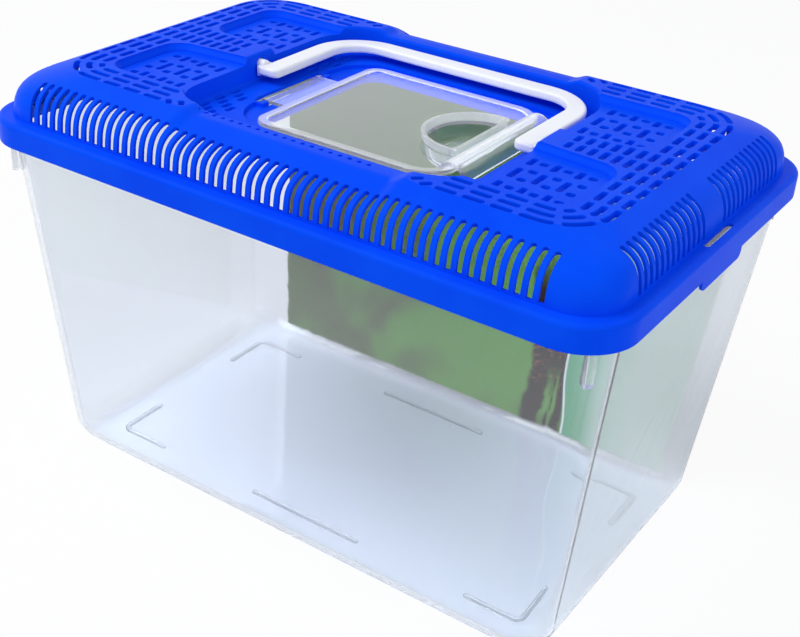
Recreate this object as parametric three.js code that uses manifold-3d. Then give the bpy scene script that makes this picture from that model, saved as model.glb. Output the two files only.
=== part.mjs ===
import * as THREE from 'three';
import { mergeGeometries, mergeVertices } from 'three/addons/utils/BufferGeometryUtils.js';
import Module from 'manifold-3d';

// Small plastic tank with a ventilated clip-on lid, a feeding hatch and a folding handle.
// Sizes are in millimetres. X runs along the tank, Y from its front to its back, and Z up.
// The origin is on the table under the middle of the tub.

// Sizes shared by the pieces
const wall = 1.8;
const seatGap = 0.3;
const overrun = 1.5;
const cornerSteps = 5;
const pinSteps = 16;

// Tub
const rimHalfLength = 121.1;
const rimHalfDepth = 74.65;
const rimCornerRadius = 12.9;
const rimHeight = 140.1;
const sideTaperLength = 11.75;
const sideTaperDepth = 9.9;
const bottomRound = 12;
const bottomRoundSteps = 3;
const tubCornerSteps = 6;
const flangeReachLength = 1.7;
const flangeReachDepth = 3.85;
const lugDrop = 20;
const lugWidth = 3;
const lugEdgeGap = 1.3;

// Feet moulded under the tub
const footHeight = 0.8;
const footWidth = 2.2;
const footInsetLength = 3.9;
const footInsetDepth = 7.5;
const cornerFootLeg = 23.5;
const middleFootLength = 50;

// Printed card standing inside the back wall
const cardThickness = 0.5;
const cardTopDrop = 9.1;
const cardFootInset = 2.85;
const cardFootGap = 0.9;
const cardShift = 3;

// Lid skirt and ledge
const rimGap = 0.4;
const skirtHeight = 8.95;
const skirtCornerRadius = 19;
const skirtEdgeRound = 1.8;
const skirtEdgeSteps = 2;
const ledgeWidth = 4.8;

// Lid dome, from the ledge up to the flat top
const domeRise = 16.8;
const domeInset = 11.5;
const domeBaseRadius = 16;
const domeTopRadius = 25;
const domeSteps = 3;
const domeInnerBendShare = 0.45;
const domeLowHandleShares = [0.07, 0.54];
const domeHighHandleShares = [0.435, 0.964];

// Lower middle of the lid's rim, between the two raised ends
const bandHalfLength = 38.5;
const bandDrop = 1.8;
const bandSlope = 6;

// Basin that the hatch and the handle lie in
const basinHalfLength = 60.2;
const basinRim = 7.5;
const basinRadius = 19;
const basinDepth = 9.8;
const basinDraft = 0.6;
const seatDepth = 1.4;
const seatRadius = 17;
const seatMargin = 4.1;
const seatEndMargin = 2.2;

// Recesses beside the ridge at each end, and the ridge between them
const recessDepth = 2.8;
const recessSlope = 1.2;
const recessRadius = 8;
const recessEndMargin = 16;
const recessSideMargin = 17.3;
const recessOverlap = 5;
const ridgeHalfWidth = 6.6;
const ridgeHalfWidthFar = 10;

// Handle
const handleRoom = 5.3;
const gripWidth = 7.5;
const armWidth = 8;
const handleHeight = 3.5;
const handleOuterRadius = 22;
const handleInnerRadius = 12;
const handleBevel = 0.9;
const handleFloorGap = 2.8;
const handleHeel = 4;
const pivotGap = 0.5;
const pivotLength = 1.8;
const pivotHalfWidth = 4.6;
const pivotHeight = 6;
const pivotRadius = 2.5;
const handlePinRadius = 1.8;
const handlePinLength = 5;
const handlePinDrop = 3;

// Hatch
const fingerGap = 5.3;
const hatchThickness = 1.2;
const beadHeight = 1.9;
const beadWidth = 3.5;
const beadRound = 0.6;
const hatchLeftRadius = 10;
const hatchRightRadius = 12;
const hatchRestLength = 2.3;
const hatchRestDepth = 4.9;
const tongueGap = 1;
const tongueLength = 13;
const tongueHalfWidth = 16.3;
const hingePinRadius = 1.5;
const hingePinReach = 2.7;
const hingeEndInset = 2.3;
const hingeDrop = 0.4;
const hingePinGap = 0.3;
const lipGap = 2.3;
const lipReach = 6;
const lipThickness = 1.4;
const lipRadius = 5.8;
const lipEndMargin = 6;
const openingRightRadius = 2;
const lipSteps = 8;
const lipSweepShare = 0.83;

// Finger pocket in the hatch
const pocketLength = 24;
const pocketHalfWidth = 21;
const pocketEndMargin = 5;
const pocketLeftRadius = 15;
const pocketRightRadius = 3;
const pocketRimRise = 2.3;
const pocketDepth = 10;
const pocketWall = 1.4;
const pocketTaper = 2;

// Sockets in the lid for the hatch's hinge pins
const socketFloor = 2.2;
const socketMouth = 2.7;
const socketLength = 3.5;
const socketHalfLength = 3.5;
const tongueSlotReach = 4;

// Snap catch in the middle of each end of the lid
const catchSlotHalfWidth = 10.3;
const catchSlotLength = 2.2;
const catchSlotInset = 3.1;
const catchTabHalfWidth = 16;
const catchTabDrop = 3.75;
const catchTabRadius = 2.5;

// Upright slots through the dome's sides
const sideSlotWidth = 1.9;
const sideSlotPitch = 3.8;
const sideSlotFoot = 0.8;
const sideSlotMargin = 19;
const sideSlotTopShare = 0.63;
const endSlotStart = 8.3;

// Slots in rows that follow the outline of each raised end
const topSlotWidth = 2.1;
const rowCount = 3;
const rowInset = 4.1;
const rowEndInset = 4.8;
const rowPitch = 4.52;
const rowCornerRadius = 17;
const rowSlotPitch = 9.42;
const rowWeb = 2.2;
const rowBandMargin = 9.1;
const cornerWebShares = [0.27, 0.73];

// Slots across the ridge
const ridgeSlotInset = 17.3;
const ridgeSlotPitch = 4.35;
const ridgeSlotCount = 6;
const ridgeWeb = 1.7;
const ridgeSlotMargin = 1.5;

// Long and short slots in turn in each recess
const recessSlotMargin = 4.2;
const recessSlotPitch = 4.25;
const recessSlotCount = 6;
const recessRowMargin = 4.6;
const recessShortWidth = 2.8;
const longSlotShares = [[0, 0.21], [0.35, 0.65], [0.8, 1]];
const shortSlotShares = [[0.05, 0.14], [0.32, 0.41], [0.59, 0.68], [0.86, 0.95]];

// Slots in the four corners of the basin's floor, with the count in each column from the outermost
const basinSlotCountsLeft = [3, 3, 3, 2];
const basinSlotCountsRight = [3, 3];
const basinSlotMargin = 2.3;
const basinSlotPitch = 3.3;
const basinSlotLength = 4.8;
const basinSlotSideMargin = 22.6;
const basinSlotRowPitch = 8.7;
const basinSlotStagger = 2;

const plasticBlue = 0x0a4af0;
const plasticClear = 0xe6ecf8;
const plasticWhite = 0xf2f4fb;
const cardGreen = 0x7fa878;

// Places worked out from the sizes above
const tubFloor = footHeight;
const tubTurnHeight = tubFloor + bottomRound;
const flangeHalfLength = rimHalfLength + flangeReachLength;
const flangeHalfDepth = rimHalfDepth + flangeReachDepth;
const skirtHalfLength = flangeHalfLength + rimGap + wall;
const skirtHalfDepth = flangeHalfDepth + rimGap + wall;
const flangeCornerRadius = skirtCornerRadius - wall - rimGap;
const ledgeUnderside = rimHeight + seatGap;
const ledgeTop = ledgeUnderside + wall;
const skirtBottom = ledgeTop - skirtHeight;
const domeHalfLength = skirtHalfLength - ledgeWidth;
const domeHalfDepth = skirtHalfDepth - ledgeWidth;
const lidTop = ledgeTop + domeRise;
const topHalfLength = domeHalfLength - domeInset;
const topHalfDepth = domeHalfDepth - domeInset;
const basinHalfDepth = topHalfDepth - basinRim;
const basinFloor = lidTop - basinDepth;
const seatFloor = basinFloor - seatDepth;
const recessFloor = lidTop - recessDepth;
const handleBottom = basinFloor + handleFloorGap;
const handlePinHeight = handleBottom + handlePinDrop;
const armOuter = basinHalfLength - basinDraft - pivotGap - pivotLength;
const armInner = armOuter - armWidth;
const gripOuter = basinHalfDepth - handleRoom;
const gripInner = gripOuter - gripWidth;
const hatchHalfDepth = gripInner - fingerGap;
const tongueEnd = -(armInner - tongueGap);
const hatchLeft = tongueEnd + tongueLength;
const lipEnd = armInner - lipGap;
const hatchRight = lipEnd - lipReach;
const hatchUnderside = seatFloor + seatGap;
const hatchPanelTop = hatchUnderside + hatchThickness;
const hingeX = tongueEnd + hingeEndInset;
const hingeHeight = seatFloor - hingeDrop;
const seatLeft = hingeX;
const seatRight = armInner + seatEndMargin;
const openingRight = armInner;

const wasm = await Module();
wasm.setup();

// Outline of straight sides with every corner rounded. The corners run anticlockwise.
function roundedOutline(corners, steps = cornerSteps) {
  const points = [];
  corners.forEach((corner, index) => {
    const here = new THREE.Vector2(corner.x, corner.y);
    if (corner.radius === 0) {
      points.push(here);
      return;
    }
    const before = corners[(index + corners.length - 1) % corners.length];
    const after = corners[(index + 1) % corners.length];
    const back = new THREE.Vector2(before.x, before.y).sub(here);
    const ahead = new THREE.Vector2(after.x, after.y).sub(here);
    const halfAngle = Math.acos(back.dot(ahead) / back.length() / ahead.length()) / 2;
    const room = Math.min(back.length(), ahead.length()) / 2 * Math.tan(halfAngle);
    const radius = Math.min(corner.radius, room);
    const bend = Math.sign(ahead.cross(back));
    const inward = back.normalize().clone().add(ahead.normalize()).normalize();
    const centre = here.clone().addScaledVector(inward, radius / Math.sin(halfAngle));
    const first = back.clone().multiplyScalar(radius / Math.tan(halfAngle)).add(here).sub(centre);
    const sweep = bend * (Math.PI - 2 * halfAngle);
    for (let step = 0; step <= steps; step += 1) {
      const spoke = first.clone().rotateAround(new THREE.Vector2(), sweep * step / steps);
      points.push(spoke.add(centre));
    }
  });
  return points;
}

function roundedBounds(left, right, front, back, leftRadius, rightRadius = leftRadius) {
  return roundedOutline([
    { x: right, y: back, radius: rightRadius },
    { x: left, y: back, radius: leftRadius },
    { x: left, y: front, radius: leftRadius },
    { x: right, y: front, radius: rightRadius },
  ]);
}

function roundedRectangle(halfLength, halfDepth, radius, steps = cornerSteps) {
  return roundedOutline([
    { x: halfLength, y: halfDepth, radius },
    { x: -halfLength, y: halfDepth, radius },
    { x: -halfLength, y: -halfDepth, radius },
    { x: halfLength, y: -halfDepth, radius },
  ], steps);
}

// The same outline on the other side of the tank's middle planes, still running anticlockwise
function mirrored(points, signX, signY) {
  const moved = points.map((point) => new THREE.Vector2(point.x * signX, point.y * signY));
  return signX * signY < 0 ? moved.reverse() : moved;
}

const quadrants = [[1, 1], [-1, 1], [-1, -1], [1, -1]];
const ends = [1, -1];

// Closed body through rings of as many points each, from the lowest ring to the highest
function loft(rings) {
  const count = rings[0].points.length;
  const positions = [];
  const index = [];
  for (const ring of rings) {
    for (const point of ring.points) {
      positions.push(point.x, point.y, ring.height);
    }
  }
  for (let level = 0; level < rings.length - 1; level += 1) {
    for (let place = 0; place < count; place += 1) {
      const low = level * count + place;
      const lowNext = level * count + (place + 1) % count;
      index.push(low, lowNext, lowNext + count);
      index.push(low, lowNext + count, low + count);
    }
  }
  const last = (rings.length - 1) * count;
  for (const [a, b, c] of THREE.ShapeUtils.triangulateShape(rings[0].points, [])) {
    index.push(c, b, a);
  }
  for (const [a, b, c] of THREE.ShapeUtils.triangulateShape(rings[rings.length - 1].points, [])) {
    index.push(last + a, last + b, last + c);
  }
  const geometry = new THREE.BufferGeometry();
  geometry.setAttribute('position', new THREE.Float32BufferAttribute(positions, 3));
  geometry.setIndex(index);
  return geometry;
}

function prism(points, bottom, top) {
  return loft([{ points, height: bottom }, { points, height: top }]);
}

function toSolid(geometry) {
  const bare = geometry.clone();
  bare.deleteAttribute('normal');
  bare.deleteAttribute('uv');
  const merged = mergeVertices(bare);
  return new wasm.Manifold(new wasm.Mesh({
    numProp: 3,
    vertProperties: merged.getAttribute('position').array,
    triVerts: merged.getIndex().array,
  }));
}

function joined(geometries) {
  return geometries.map(toSolid).reduce((body, piece) => body.add(piece));
}

function toGeometry(solid) {
  const mesh = solid.getMesh();
  const geometry = new THREE.BufferGeometry();
  geometry.setAttribute('position', new THREE.BufferAttribute(mesh.vertProperties, 3));
  geometry.setIndex(new THREE.BufferAttribute(mesh.triVerts, 1));
  geometry.computeVertexNormals();
  return geometry;
}

// Profile drawn in X and Z, or in Y and Z, and run straight along the third direction
function alongDepth(points, front, back) {
  const geometry = new THREE.ExtrudeGeometry(new THREE.Shape(points), {
    depth: back - front,
    bevelEnabled: false,
  });
  geometry.rotateX(Math.PI / 2);
  geometry.translate(0, back, 0);
  return geometry;
}

function alongLength(points, left, right) {
  const geometry = new THREE.ExtrudeGeometry(new THREE.Shape(points), {
    depth: right - left,
    bevelEnabled: false,
  });
  geometry.rotateY(Math.PI / 2);
  geometry.rotateX(Math.PI / 2);
  geometry.translate(left, 0, 0);
  return geometry;
}

function pinAlongDepth(radius, x, front, back, height) {
  const geometry = new THREE.CylinderGeometry(radius, radius, back - front, pinSteps);
  geometry.translate(x, (front + back) / 2, height);
  return geometry;
}

function pinAlongLength(radius, left, right, height) {
  const geometry = new THREE.CylinderGeometry(radius, radius, right - left, pinSteps);
  geometry.rotateZ(Math.PI / 2);
  geometry.translate((left + right) / 2, 0, height);
  return geometry;
}

// Tub outline at one height: drawn in by the given amounts from the rim
function tubOutline(insetLength, insetDepth, inward) {
  return roundedRectangle(
    rimHalfLength - insetLength - inward,
    rimHalfDepth - insetDepth - inward,
    rimCornerRadius - inward,
    tubCornerSteps,
  );
}

// Rings of the tub's wall, drawn in by a wall's thickness for the hollow
function tubRings(inward) {
  const rings = [];
  for (let step = 0; step <= bottomRoundSteps; step += 1) {
    const angle = Math.PI / 2 * step / bottomRoundSteps;
    const inset = (bottomRound - inward) * (1 - Math.sin(angle));
    rings.push({
      points: tubOutline(sideTaperLength + inset, sideTaperDepth + inset, inward),
      height: tubTurnHeight - (bottomRound - inward) * Math.cos(angle),
    });
  }
  const top = inward > 0 ? rimHeight + overrun : rimHeight;
  rings.push({ points: tubOutline(0, 0, inward), height: top });
  return rings;
}

function buildTub() {
  const flange = prism(
    roundedRectangle(flangeHalfLength, flangeHalfDepth, flangeCornerRadius, tubCornerSteps),
    rimHeight - wall,
    rimHeight,
  );
  let body = joined([loft(tubRings(0)), flange]);
  for (const [signX, signY] of quadrants) {
    body = body.add(toSolid(cornerLug(signX, signY)));
  }
  body = body.subtract(toSolid(loft(tubRings(wall))));
  for (const foot of footOutlines()) {
    body = body.add(toSolid(prism(foot, 0, tubFloor + wall / 2)));
  }
  return body;
}

// Upright fin standing out diagonally from a corner of the tub, under the flange
function cornerLug(signX, signY) {
  const bottom = rimHeight - lugDrop;
  const corner = new THREE.Vector2(
    flangeHalfLength - flangeCornerRadius,
    flangeHalfDepth - flangeCornerRadius,
  );
  const reach = flangeCornerRadius - lugEdgeGap;
  const points = roundedBounds(reach / 2, reach, -lugWidth / 2, lugWidth / 2, 0);
  const turned = points.map((point) => point
    .rotateAround(new THREE.Vector2(), Math.PI / 4)
    .add(corner));
  return prism(mirrored(turned, signX, signY), bottom, rimHeight - wall / 2);
}

// L-shaped feet in the corners and a straight one in the middle of each long side
function footOutlines() {
  const lineX = rimHalfLength - sideTaperLength - bottomRound - footInsetLength;
  const lineY = rimHalfDepth - sideTaperDepth - bottomRound - footInsetDepth;
  const half = footWidth / 2;
  const outlines = [];
  for (const [signX, signY] of quadrants) {
    const corner = roundedOutline([
      { x: lineX + half, y: lineY + half, radius: footWidth * 2 },
      { x: lineX + half - cornerFootLeg, y: lineY + half, radius: 0 },
      { x: lineX + half - cornerFootLeg, y: lineY - half, radius: 0 },
      { x: lineX - half, y: lineY - half, radius: footWidth },
      { x: lineX - half, y: lineY + half - cornerFootLeg, radius: 0 },
      { x: lineX + half, y: lineY + half - cornerFootLeg, radius: 0 },
    ], tubCornerSteps);
    outlines.push(mirrored(corner, signX, signY));
  }
  for (const end of ends) {
    const middle = end * lineY;
    const reach = middleFootLength / 2;
    outlines.push(roundedBounds(-reach, reach, middle - half, middle + half, 0));
  }
  return outlines;
}

// Card with sloping ends, standing on the rounded edge of the floor and leaning on the back wall
function buildCard() {
  const innerRound = bottomRound - wall;
  const footDrop = Math.sqrt(innerRound ** 2 - (innerRound - cardFootInset) ** 2);
  const foot = tubTurnHeight - footDrop + cardFootGap;
  const ring = (height, wallGap) => {
    const taperShare = (rimHeight - height) / (rimHeight - tubTurnHeight);
    const back = rimHalfDepth - wall - sideTaperDepth * taperShare - wallGap;
    const innerHalf = rimHalfLength - sideTaperLength * taperShare - rimCornerRadius;
    const half = innerHalf - cardShift;
    const outline = roundedBounds(cardShift - half, cardShift + half, back - cardThickness, back, 0);
    return { points: outline, height };
  };
  return toSolid(loft([ring(foot, cardFootInset), ring(rimHeight - cardTopDrop, seatGap)]));
}

// Side profile of the dome: how far it has drawn in and risen, as the share of its run goes 0 to 1
function domePoint(share, inward) {
  const curve = new THREE.CubicBezierCurve(
    new THREE.Vector2(),
    new THREE.Vector2(domeInset * domeLowHandleShares[0], domeRise * domeLowHandleShares[1]),
    new THREE.Vector2(domeInset * domeHighHandleShares[0], domeRise * domeHighHandleShares[1]),
    new THREE.Vector2(domeInset, domeRise),
  );
  const point = curve.getPoint(share);
  const tangent = curve.getTangent(share);
  return point.add(new THREE.Vector2(tangent.y, -tangent.x).multiplyScalar(inward));
}

function domeRing(inset, inward, height) {
  const share = THREE.MathUtils.clamp(inset / domeInset, 0, 1);
  const radius = THREE.MathUtils.lerp(domeBaseRadius, domeTopRadius, share) - inward;
  return {
    points: roundedRectangle(domeHalfLength - inset, domeHalfDepth - inset, radius),
    height,
  };
}

function skirtRing(inward, height) {
  const radius = skirtCornerRadius - inward;
  return {
    points: roundedRectangle(skirtHalfLength - inward, skirtHalfDepth - inward, radius),
    height,
  };
}

// Outside of the lid: the skirt with its rounded edge, the flat ledge and the dome
function lidOutside() {
  const rings = [skirtRing(0, skirtBottom)];
  for (let step = 0; step <= skirtEdgeSteps; step += 1) {
    const angle = Math.PI / 2 * step / skirtEdgeSteps;
    rings.push(skirtRing(
      skirtEdgeRound * (1 - Math.cos(angle)),
      ledgeTop - skirtEdgeRound * (1 - Math.sin(angle)),
    ));
  }
  for (let step = 0; step <= domeSteps; step += 1) {
    const point = domePoint(step / domeSteps, 0);
    rings.push(domeRing(point.x, 0, ledgeTop + point.y));
  }
  return toSolid(loft(rings));
}

// Hollow under the lid, a wall's thickness inside it
function lidInside() {
  const bend = domePoint(domeInnerBendShare, wall);
  const rings = [
    skirtRing(wall, skirtBottom - overrun),
    skirtRing(wall, ledgeUnderside),
    domeRing(wall, wall, ledgeUnderside),
    domeRing(bend.x, wall, ledgeTop + bend.y),
    domeRing(domeInset, 0, lidTop - wall),
  ];
  return toSolid(loft(rings));
}

// Each hollow in the lid's top is cut from the outside, and the same form, grown by a wall's
// thickness and lowered by it, is kept out of the hollow underneath.
function bandForm(grow) {
  const floor = lidTop - bandDrop - grow;
  const above = lidTop + overrun;
  const reach = bandHalfLength + bandSlope * (above - floor) / bandDrop;
  const points = [
    new THREE.Vector2(-reach, above),
    new THREE.Vector2(-bandHalfLength, floor),
    new THREE.Vector2(bandHalfLength, floor),
    new THREE.Vector2(reach, above),
  ];
  return alongDepth(points, -skirtHalfDepth, skirtHalfDepth);
}

function basinForm(grow) {
  const ring = (inset, height) => ({
    points: roundedRectangle(
      basinHalfLength + grow - inset,
      basinHalfDepth + grow - inset,
      basinRadius + grow,
    ),
    height,
  });
  return loft([ring(basinDraft, basinFloor - grow), ring(0, lidTop + overrun)]);
}

function seatForm(grow) {
  const half = hatchHalfDepth + seatMargin + grow;
  const outline = roundedBounds(seatLeft - grow, seatRight + grow, -half, half, seatRadius + grow);
  return prism(outline, seatFloor - grow, basinFloor + overrun);
}

function recessForm(grow, signX, signY) {
  const near = basinHalfLength - recessOverlap - grow;
  const far = topHalfLength - recessEndMargin + grow;
  const side = topHalfDepth - recessSideMargin + grow;
  const ring = (inset, height) => {
    const radius = recessRadius + grow - inset;
    const corners = roundedOutline([
      { x: far - inset, y: side - inset, radius },
      { x: near, y: side - inset, radius: 0 },
      { x: near, y: ridgeHalfWidth - grow + inset, radius: 0 },
      { x: far - inset, y: ridgeHalfWidthFar - grow + inset, radius },
    ]);
    return { points: mirrored(corners, signX, signY), height };
  };
  return loft([
    ring(recessSlope, recessFloor - grow),
    ring(0, lidTop - grow),
    ring(0, lidTop + overrun),
  ]);
}

function topForms(grow) {
  const recesses = quadrants.map(([signX, signY]) => recessForm(grow, signX, signY));
  return joined([bandForm(grow), basinForm(grow), seatForm(grow), ...recesses]);
}

// Hatch opening, tongue slot, catch slots and handle pin holes
function lidOpenings() {
  const low = seatFloor - wall - overrun;
  const high = basinFloor + overrun;
  const openingHalf = hatchHalfDepth - hatchRestDepth;
  const opening = roundedBounds(
    hatchLeft + hatchRestLength,
    openingRight,
    -openingHalf,
    openingHalf,
    hatchLeftRadius - hatchRestLength,
    openingRightRadius,
  );
  const slotHalf = tongueHalfWidth + hingePinGap * 2;
  const tongueSlot = roundedBounds(
    hingeX - tongueSlotReach,
    hingeX + tongueSlotReach,
    -slotHalf,
    slotHalf,
    0,
  );
  const cutters = [prism(opening, low, high), prism(tongueSlot, low, high)];
  for (const end of ends) {
    const middle = end * (skirtHalfLength - catchSlotInset);
    const half = catchSlotLength / 2;
    const catchSlot = roundedBounds(
      middle - half,
      middle + half,
      -catchSlotHalfWidth,
      catchSlotHalfWidth,
      0,
    );
    cutters.push(prism(catchSlot, ledgeUnderside - overrun, ledgeTop + overrun));
    const faces = [basinHalfLength - overrun, basinHalfLength + wall + overrun];
    const [left, right] = faces.map((face) => face * end).sort((a, b) => a - b);
    cutters.push(pinAlongLength(handlePinRadius + seatGap, left, right, handlePinHeight));
  }
  return joined(cutters);
}

function slotBox(x, y, length, depth, bottom, top) {
  const outline = roundedBounds(x - length / 2, x + length / 2, y - depth / 2, y + depth / 2, 0);
  return prism(outline, bottom, top);
}

// Side view of the cutter for an upright slot, as distances in from the dome's foot and up from
// the ledge. Its upper end is square to the dome's surface.
function sideSlotProfile() {
  const top = domePoint(sideSlotTopShare, 0);
  const outer = domePoint(sideSlotTopShare, -overrun);
  const inner = domePoint(sideSlotTopShare, wall + overrun);
  return [
    new THREE.Vector2(-overrun, sideSlotFoot),
    new THREE.Vector2(inner.x, sideSlotFoot),
    inner,
    outer,
    new THREE.Vector2(-overrun, top.y),
  ];
}

// Cutters for upright slots: an unbroken row along each long side and two groups at each end
function sideSlots() {
  const profile = sideSlotProfile();
  const half = sideSlotWidth / 2;
  const slots = [];
  const cutterAt = (base, sign, run) => {
    const points = profile.map((point) => new THREE.Vector2(
      sign * (base - point.x),
      ledgeTop + point.y,
    ));
    return run(sign > 0 ? points.reverse() : points);
  };
  const lastX = domeHalfLength - sideSlotMargin;
  for (let x = sideSlotPitch / 2; x <= lastX; x += sideSlotPitch) {
    for (const [signX, signY] of quadrants) {
      const middle = signX * x;
      slots.push(cutterAt(domeHalfDepth, signY, (points) => (
        alongLength(points, middle - half, middle + half))));
    }
  }
  const lastY = domeHalfDepth - sideSlotMargin;
  for (let y = endSlotStart; y <= lastY; y += sideSlotPitch) {
    for (const [signX, signY] of quadrants) {
      const middle = signY * y;
      slots.push(cutterAt(domeHalfLength, signX, (points) => (
        alongDepth(points, middle - half, middle + half))));
    }
  }
  return slots;
}

// One quarter of a row, from the middle of the end, round the corner and along the long side
function rowPath(row) {
  const inset = row * rowPitch;
  const radius = rowCornerRadius - inset;
  const cornerX = topHalfLength - rowInset - rowCornerRadius;
  const cornerY = topHalfDepth - rowEndInset - rowCornerRadius;
  const arc = radius * Math.PI / 2;
  const at = (distance) => {
    const bend = THREE.MathUtils.clamp((distance - cornerY) / radius, 0, Math.PI / 2);
    const outward = new THREE.Vector2(Math.cos(bend), Math.sin(bend));
    const point = outward.clone().multiplyScalar(radius);
    point.x += cornerX - Math.max(distance - cornerY - arc, 0);
    point.y += Math.min(distance, cornerY);
    return { point, outward };
  };
  return { at, arc, cornerX, cornerY };
}

// Where the solid webs between the slots of a row lie, as distances along the row
function rowWebs(path) {
  const webs = [];
  const straightCount = Math.floor(path.cornerY / rowSlotPitch);
  for (let place = 0; place <= straightCount; place += 1) {
    webs.push(place * rowSlotPitch);
  }
  for (const share of cornerWebShares) {
    webs.push(path.cornerY + path.arc * share);
  }
  const rowEnd = bandHalfLength + bandSlope + rowBandMargin;
  const longCount = Math.floor((path.cornerX - rowEnd) / rowSlotPitch);
  for (let place = longCount; place >= 0; place -= 1) {
    webs.push(path.cornerY + path.arc + path.cornerX - rowEnd - place * rowSlotPitch);
  }
  return webs;
}

function rowSlot(path, start, end) {
  const stations = [start, end];
  const arcEnd = path.cornerY + path.arc;
  if (end > path.cornerY && start < arcEnd) {
    const low = Math.max(start, path.cornerY);
    const high = Math.min(end, arcEnd);
    stations.splice(1, 0, (low + high) / 2);
  }
  const side = (offset) => stations.map((distance) => {
    const { point, outward } = path.at(distance);
    return point.addScaledVector(outward, offset);
  });
  return [...side(topSlotWidth / 2), ...side(-topSlotWidth / 2).reverse()];
}

function rowSlots() {
  const slots = [];
  for (let row = 0; row < rowCount; row += 1) {
    const path = rowPath(row);
    const webs = rowWebs(path);
    for (let place = 1; place < webs.length; place += 1) {
      const outline = rowSlot(path, webs[place - 1] + rowWeb / 2, webs[place] - rowWeb / 2);
      for (const [signX, signY] of quadrants) {
        const turned = mirrored(outline, signX, signY);
        slots.push(prism(turned, lidTop - wall - overrun, lidTop + overrun));
      }
    }
  }
  return slots;
}

// Half the ridge's width at a distance from the middle of the lid
function ridgeHalfWidthAt(x) {
  const share = (x - basinHalfLength) / (topHalfLength - recessEndMargin - basinHalfLength);
  return THREE.MathUtils.lerp(ridgeHalfWidth, ridgeHalfWidthFar, share);
}

function ridgeSlots() {
  const slots = [];
  const bottom = lidTop - wall - overrun;
  const near = ridgeWeb / 2;
  for (let column = 0; column < ridgeSlotCount; column += 1) {
    const x = topHalfLength - ridgeSlotInset - column * ridgeSlotPitch;
    const far = ridgeHalfWidthAt(x) - ridgeSlotMargin;
    for (const [signX, signY] of quadrants) {
      const y = signY * (near + far) / 2;
      slots.push(slotBox(signX * x, y, topSlotWidth, far - near, bottom, lidTop + overrun));
    }
  }
  return slots;
}

function recessSlots() {
  const slots = [];
  const bottom = recessFloor - wall - overrun;
  const top = recessFloor + overrun;
  const rowStart = ridgeHalfWidthFar + recessRowMargin;
  const rowRun = topHalfDepth - recessSideMargin - recessRowMargin - rowStart;
  for (let column = 0; column < recessSlotCount; column += 1) {
    const x = basinHalfLength + recessSlotMargin + column * recessSlotPitch;
    const short = column % 2 === 1;
    const width = short ? recessShortWidth : topSlotWidth;
    for (const [from, to] of short ? shortSlotShares : longSlotShares) {
      const y = rowStart + rowRun * (from + to) / 2;
      const length = rowRun * (to - from);
      for (const [signX, signY] of quadrants) {
        slots.push(slotBox(signX * x, signY * y, width, length, bottom, top));
      }
    }
  }
  return slots;
}

// Staggered slots in the corners of the basin's floor, beside the seat
function basinSlots() {
  const slots = [];
  const bottom = basinFloor - wall - overrun;
  const top = basinFloor + overrun;
  for (const [signX, signY] of quadrants) {
    const counts = signX > 0 ? basinSlotCountsRight : basinSlotCountsLeft;
    counts.forEach((count, column) => {
      const x = basinHalfLength - basinSlotMargin - column * basinSlotPitch;
      const farY = basinHalfDepth - basinSlotSideMargin + column * basinSlotStagger;
      for (let row = 0; row < count; row += 1) {
        const y = farY - row * basinSlotRowPitch;
        slots.push(slotBox(signX * x, signY * y, topSlotWidth, basinSlotLength, bottom, top));
      }
    });
  }
  return slots;
}

function lidSlots() {
  const upright = toSolid(mergeGeometries(sideSlots()));
  const level = [...rowSlots(), ...ridgeSlots(), ...recessSlots(), ...basinSlots()];
  return upright.add(toSolid(mergeGeometries(level)));
}

// Tab hanging from the skirt in the middle of each end
function catchTab(end) {
  const top = skirtBottom + skirtHeight / 2;
  const bottom = skirtBottom - catchTabDrop;
  const points = roundedOutline([
    { x: catchTabHalfWidth, y: top, radius: 0 },
    { x: -catchTabHalfWidth, y: top, radius: 0 },
    { x: -catchTabHalfWidth, y: bottom, radius: catchTabRadius },
    { x: catchTabHalfWidth, y: bottom, radius: catchTabRadius },
  ]);
  const outer = skirtHalfLength;
  const inner = skirtHalfLength - wall;
  return end > 0 ? alongLength(points, inner, outer) : alongLength(points, -outer, -inner);
}

// Block under the basin's floor that holds one of the hatch's hinge pins
function socketBlock(side) {
  const near = tongueHalfWidth + hingePinGap * 2;
  const far = near + socketLength;
  const points = roundedBounds(
    hingeX - socketHalfLength,
    hingeX + socketHalfLength,
    side > 0 ? near : -far,
    side > 0 ? far : -near,
    0,
  );
  return prism(points, hingeHeight - hingePinRadius - hingePinGap - socketFloor, basinFloor);
}

function socketGroove() {
  const reach = tongueHalfWidth + hingePinReach + hingePinGap;
  const bore = pinAlongDepth(hingePinRadius + hingePinGap, hingeX, -reach, reach, hingeHeight);
  const half = socketMouth / 2;
  const mouth = prism(
    roundedBounds(hingeX - half, hingeX + half, -reach, reach, 0),
    hingeHeight,
    basinFloor + overrun,
  );
  return joined([bore, mouth]);
}

function buildLid() {
  const hollow = lidInside().subtract(topForms(wall));
  let body = lidOutside().subtract(topForms(0)).subtract(hollow);
  body = body.subtract(lidOpenings()).subtract(lidSlots());
  body = body.add(joined([socketBlock(1), socketBlock(-1)])).subtract(socketGroove());
  return body.add(joined(ends.map(catchTab)));
}

function hatchOutline(grow) {
  return roundedBounds(
    hatchLeft - grow,
    hatchRight + grow,
    -hatchHalfDepth - grow,
    hatchHalfDepth + grow,
    hatchLeftRadius + grow,
    hatchRightRadius + grow,
  );
}

function pocketOutline(grow) {
  const right = hatchRight - pocketEndMargin;
  const half = pocketHalfWidth + grow;
  return roundedBounds(
    right - pocketLength - grow,
    right + grow,
    -half,
    half,
    pocketLeftRadius + grow,
    pocketRightRadius,
  );
}

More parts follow.
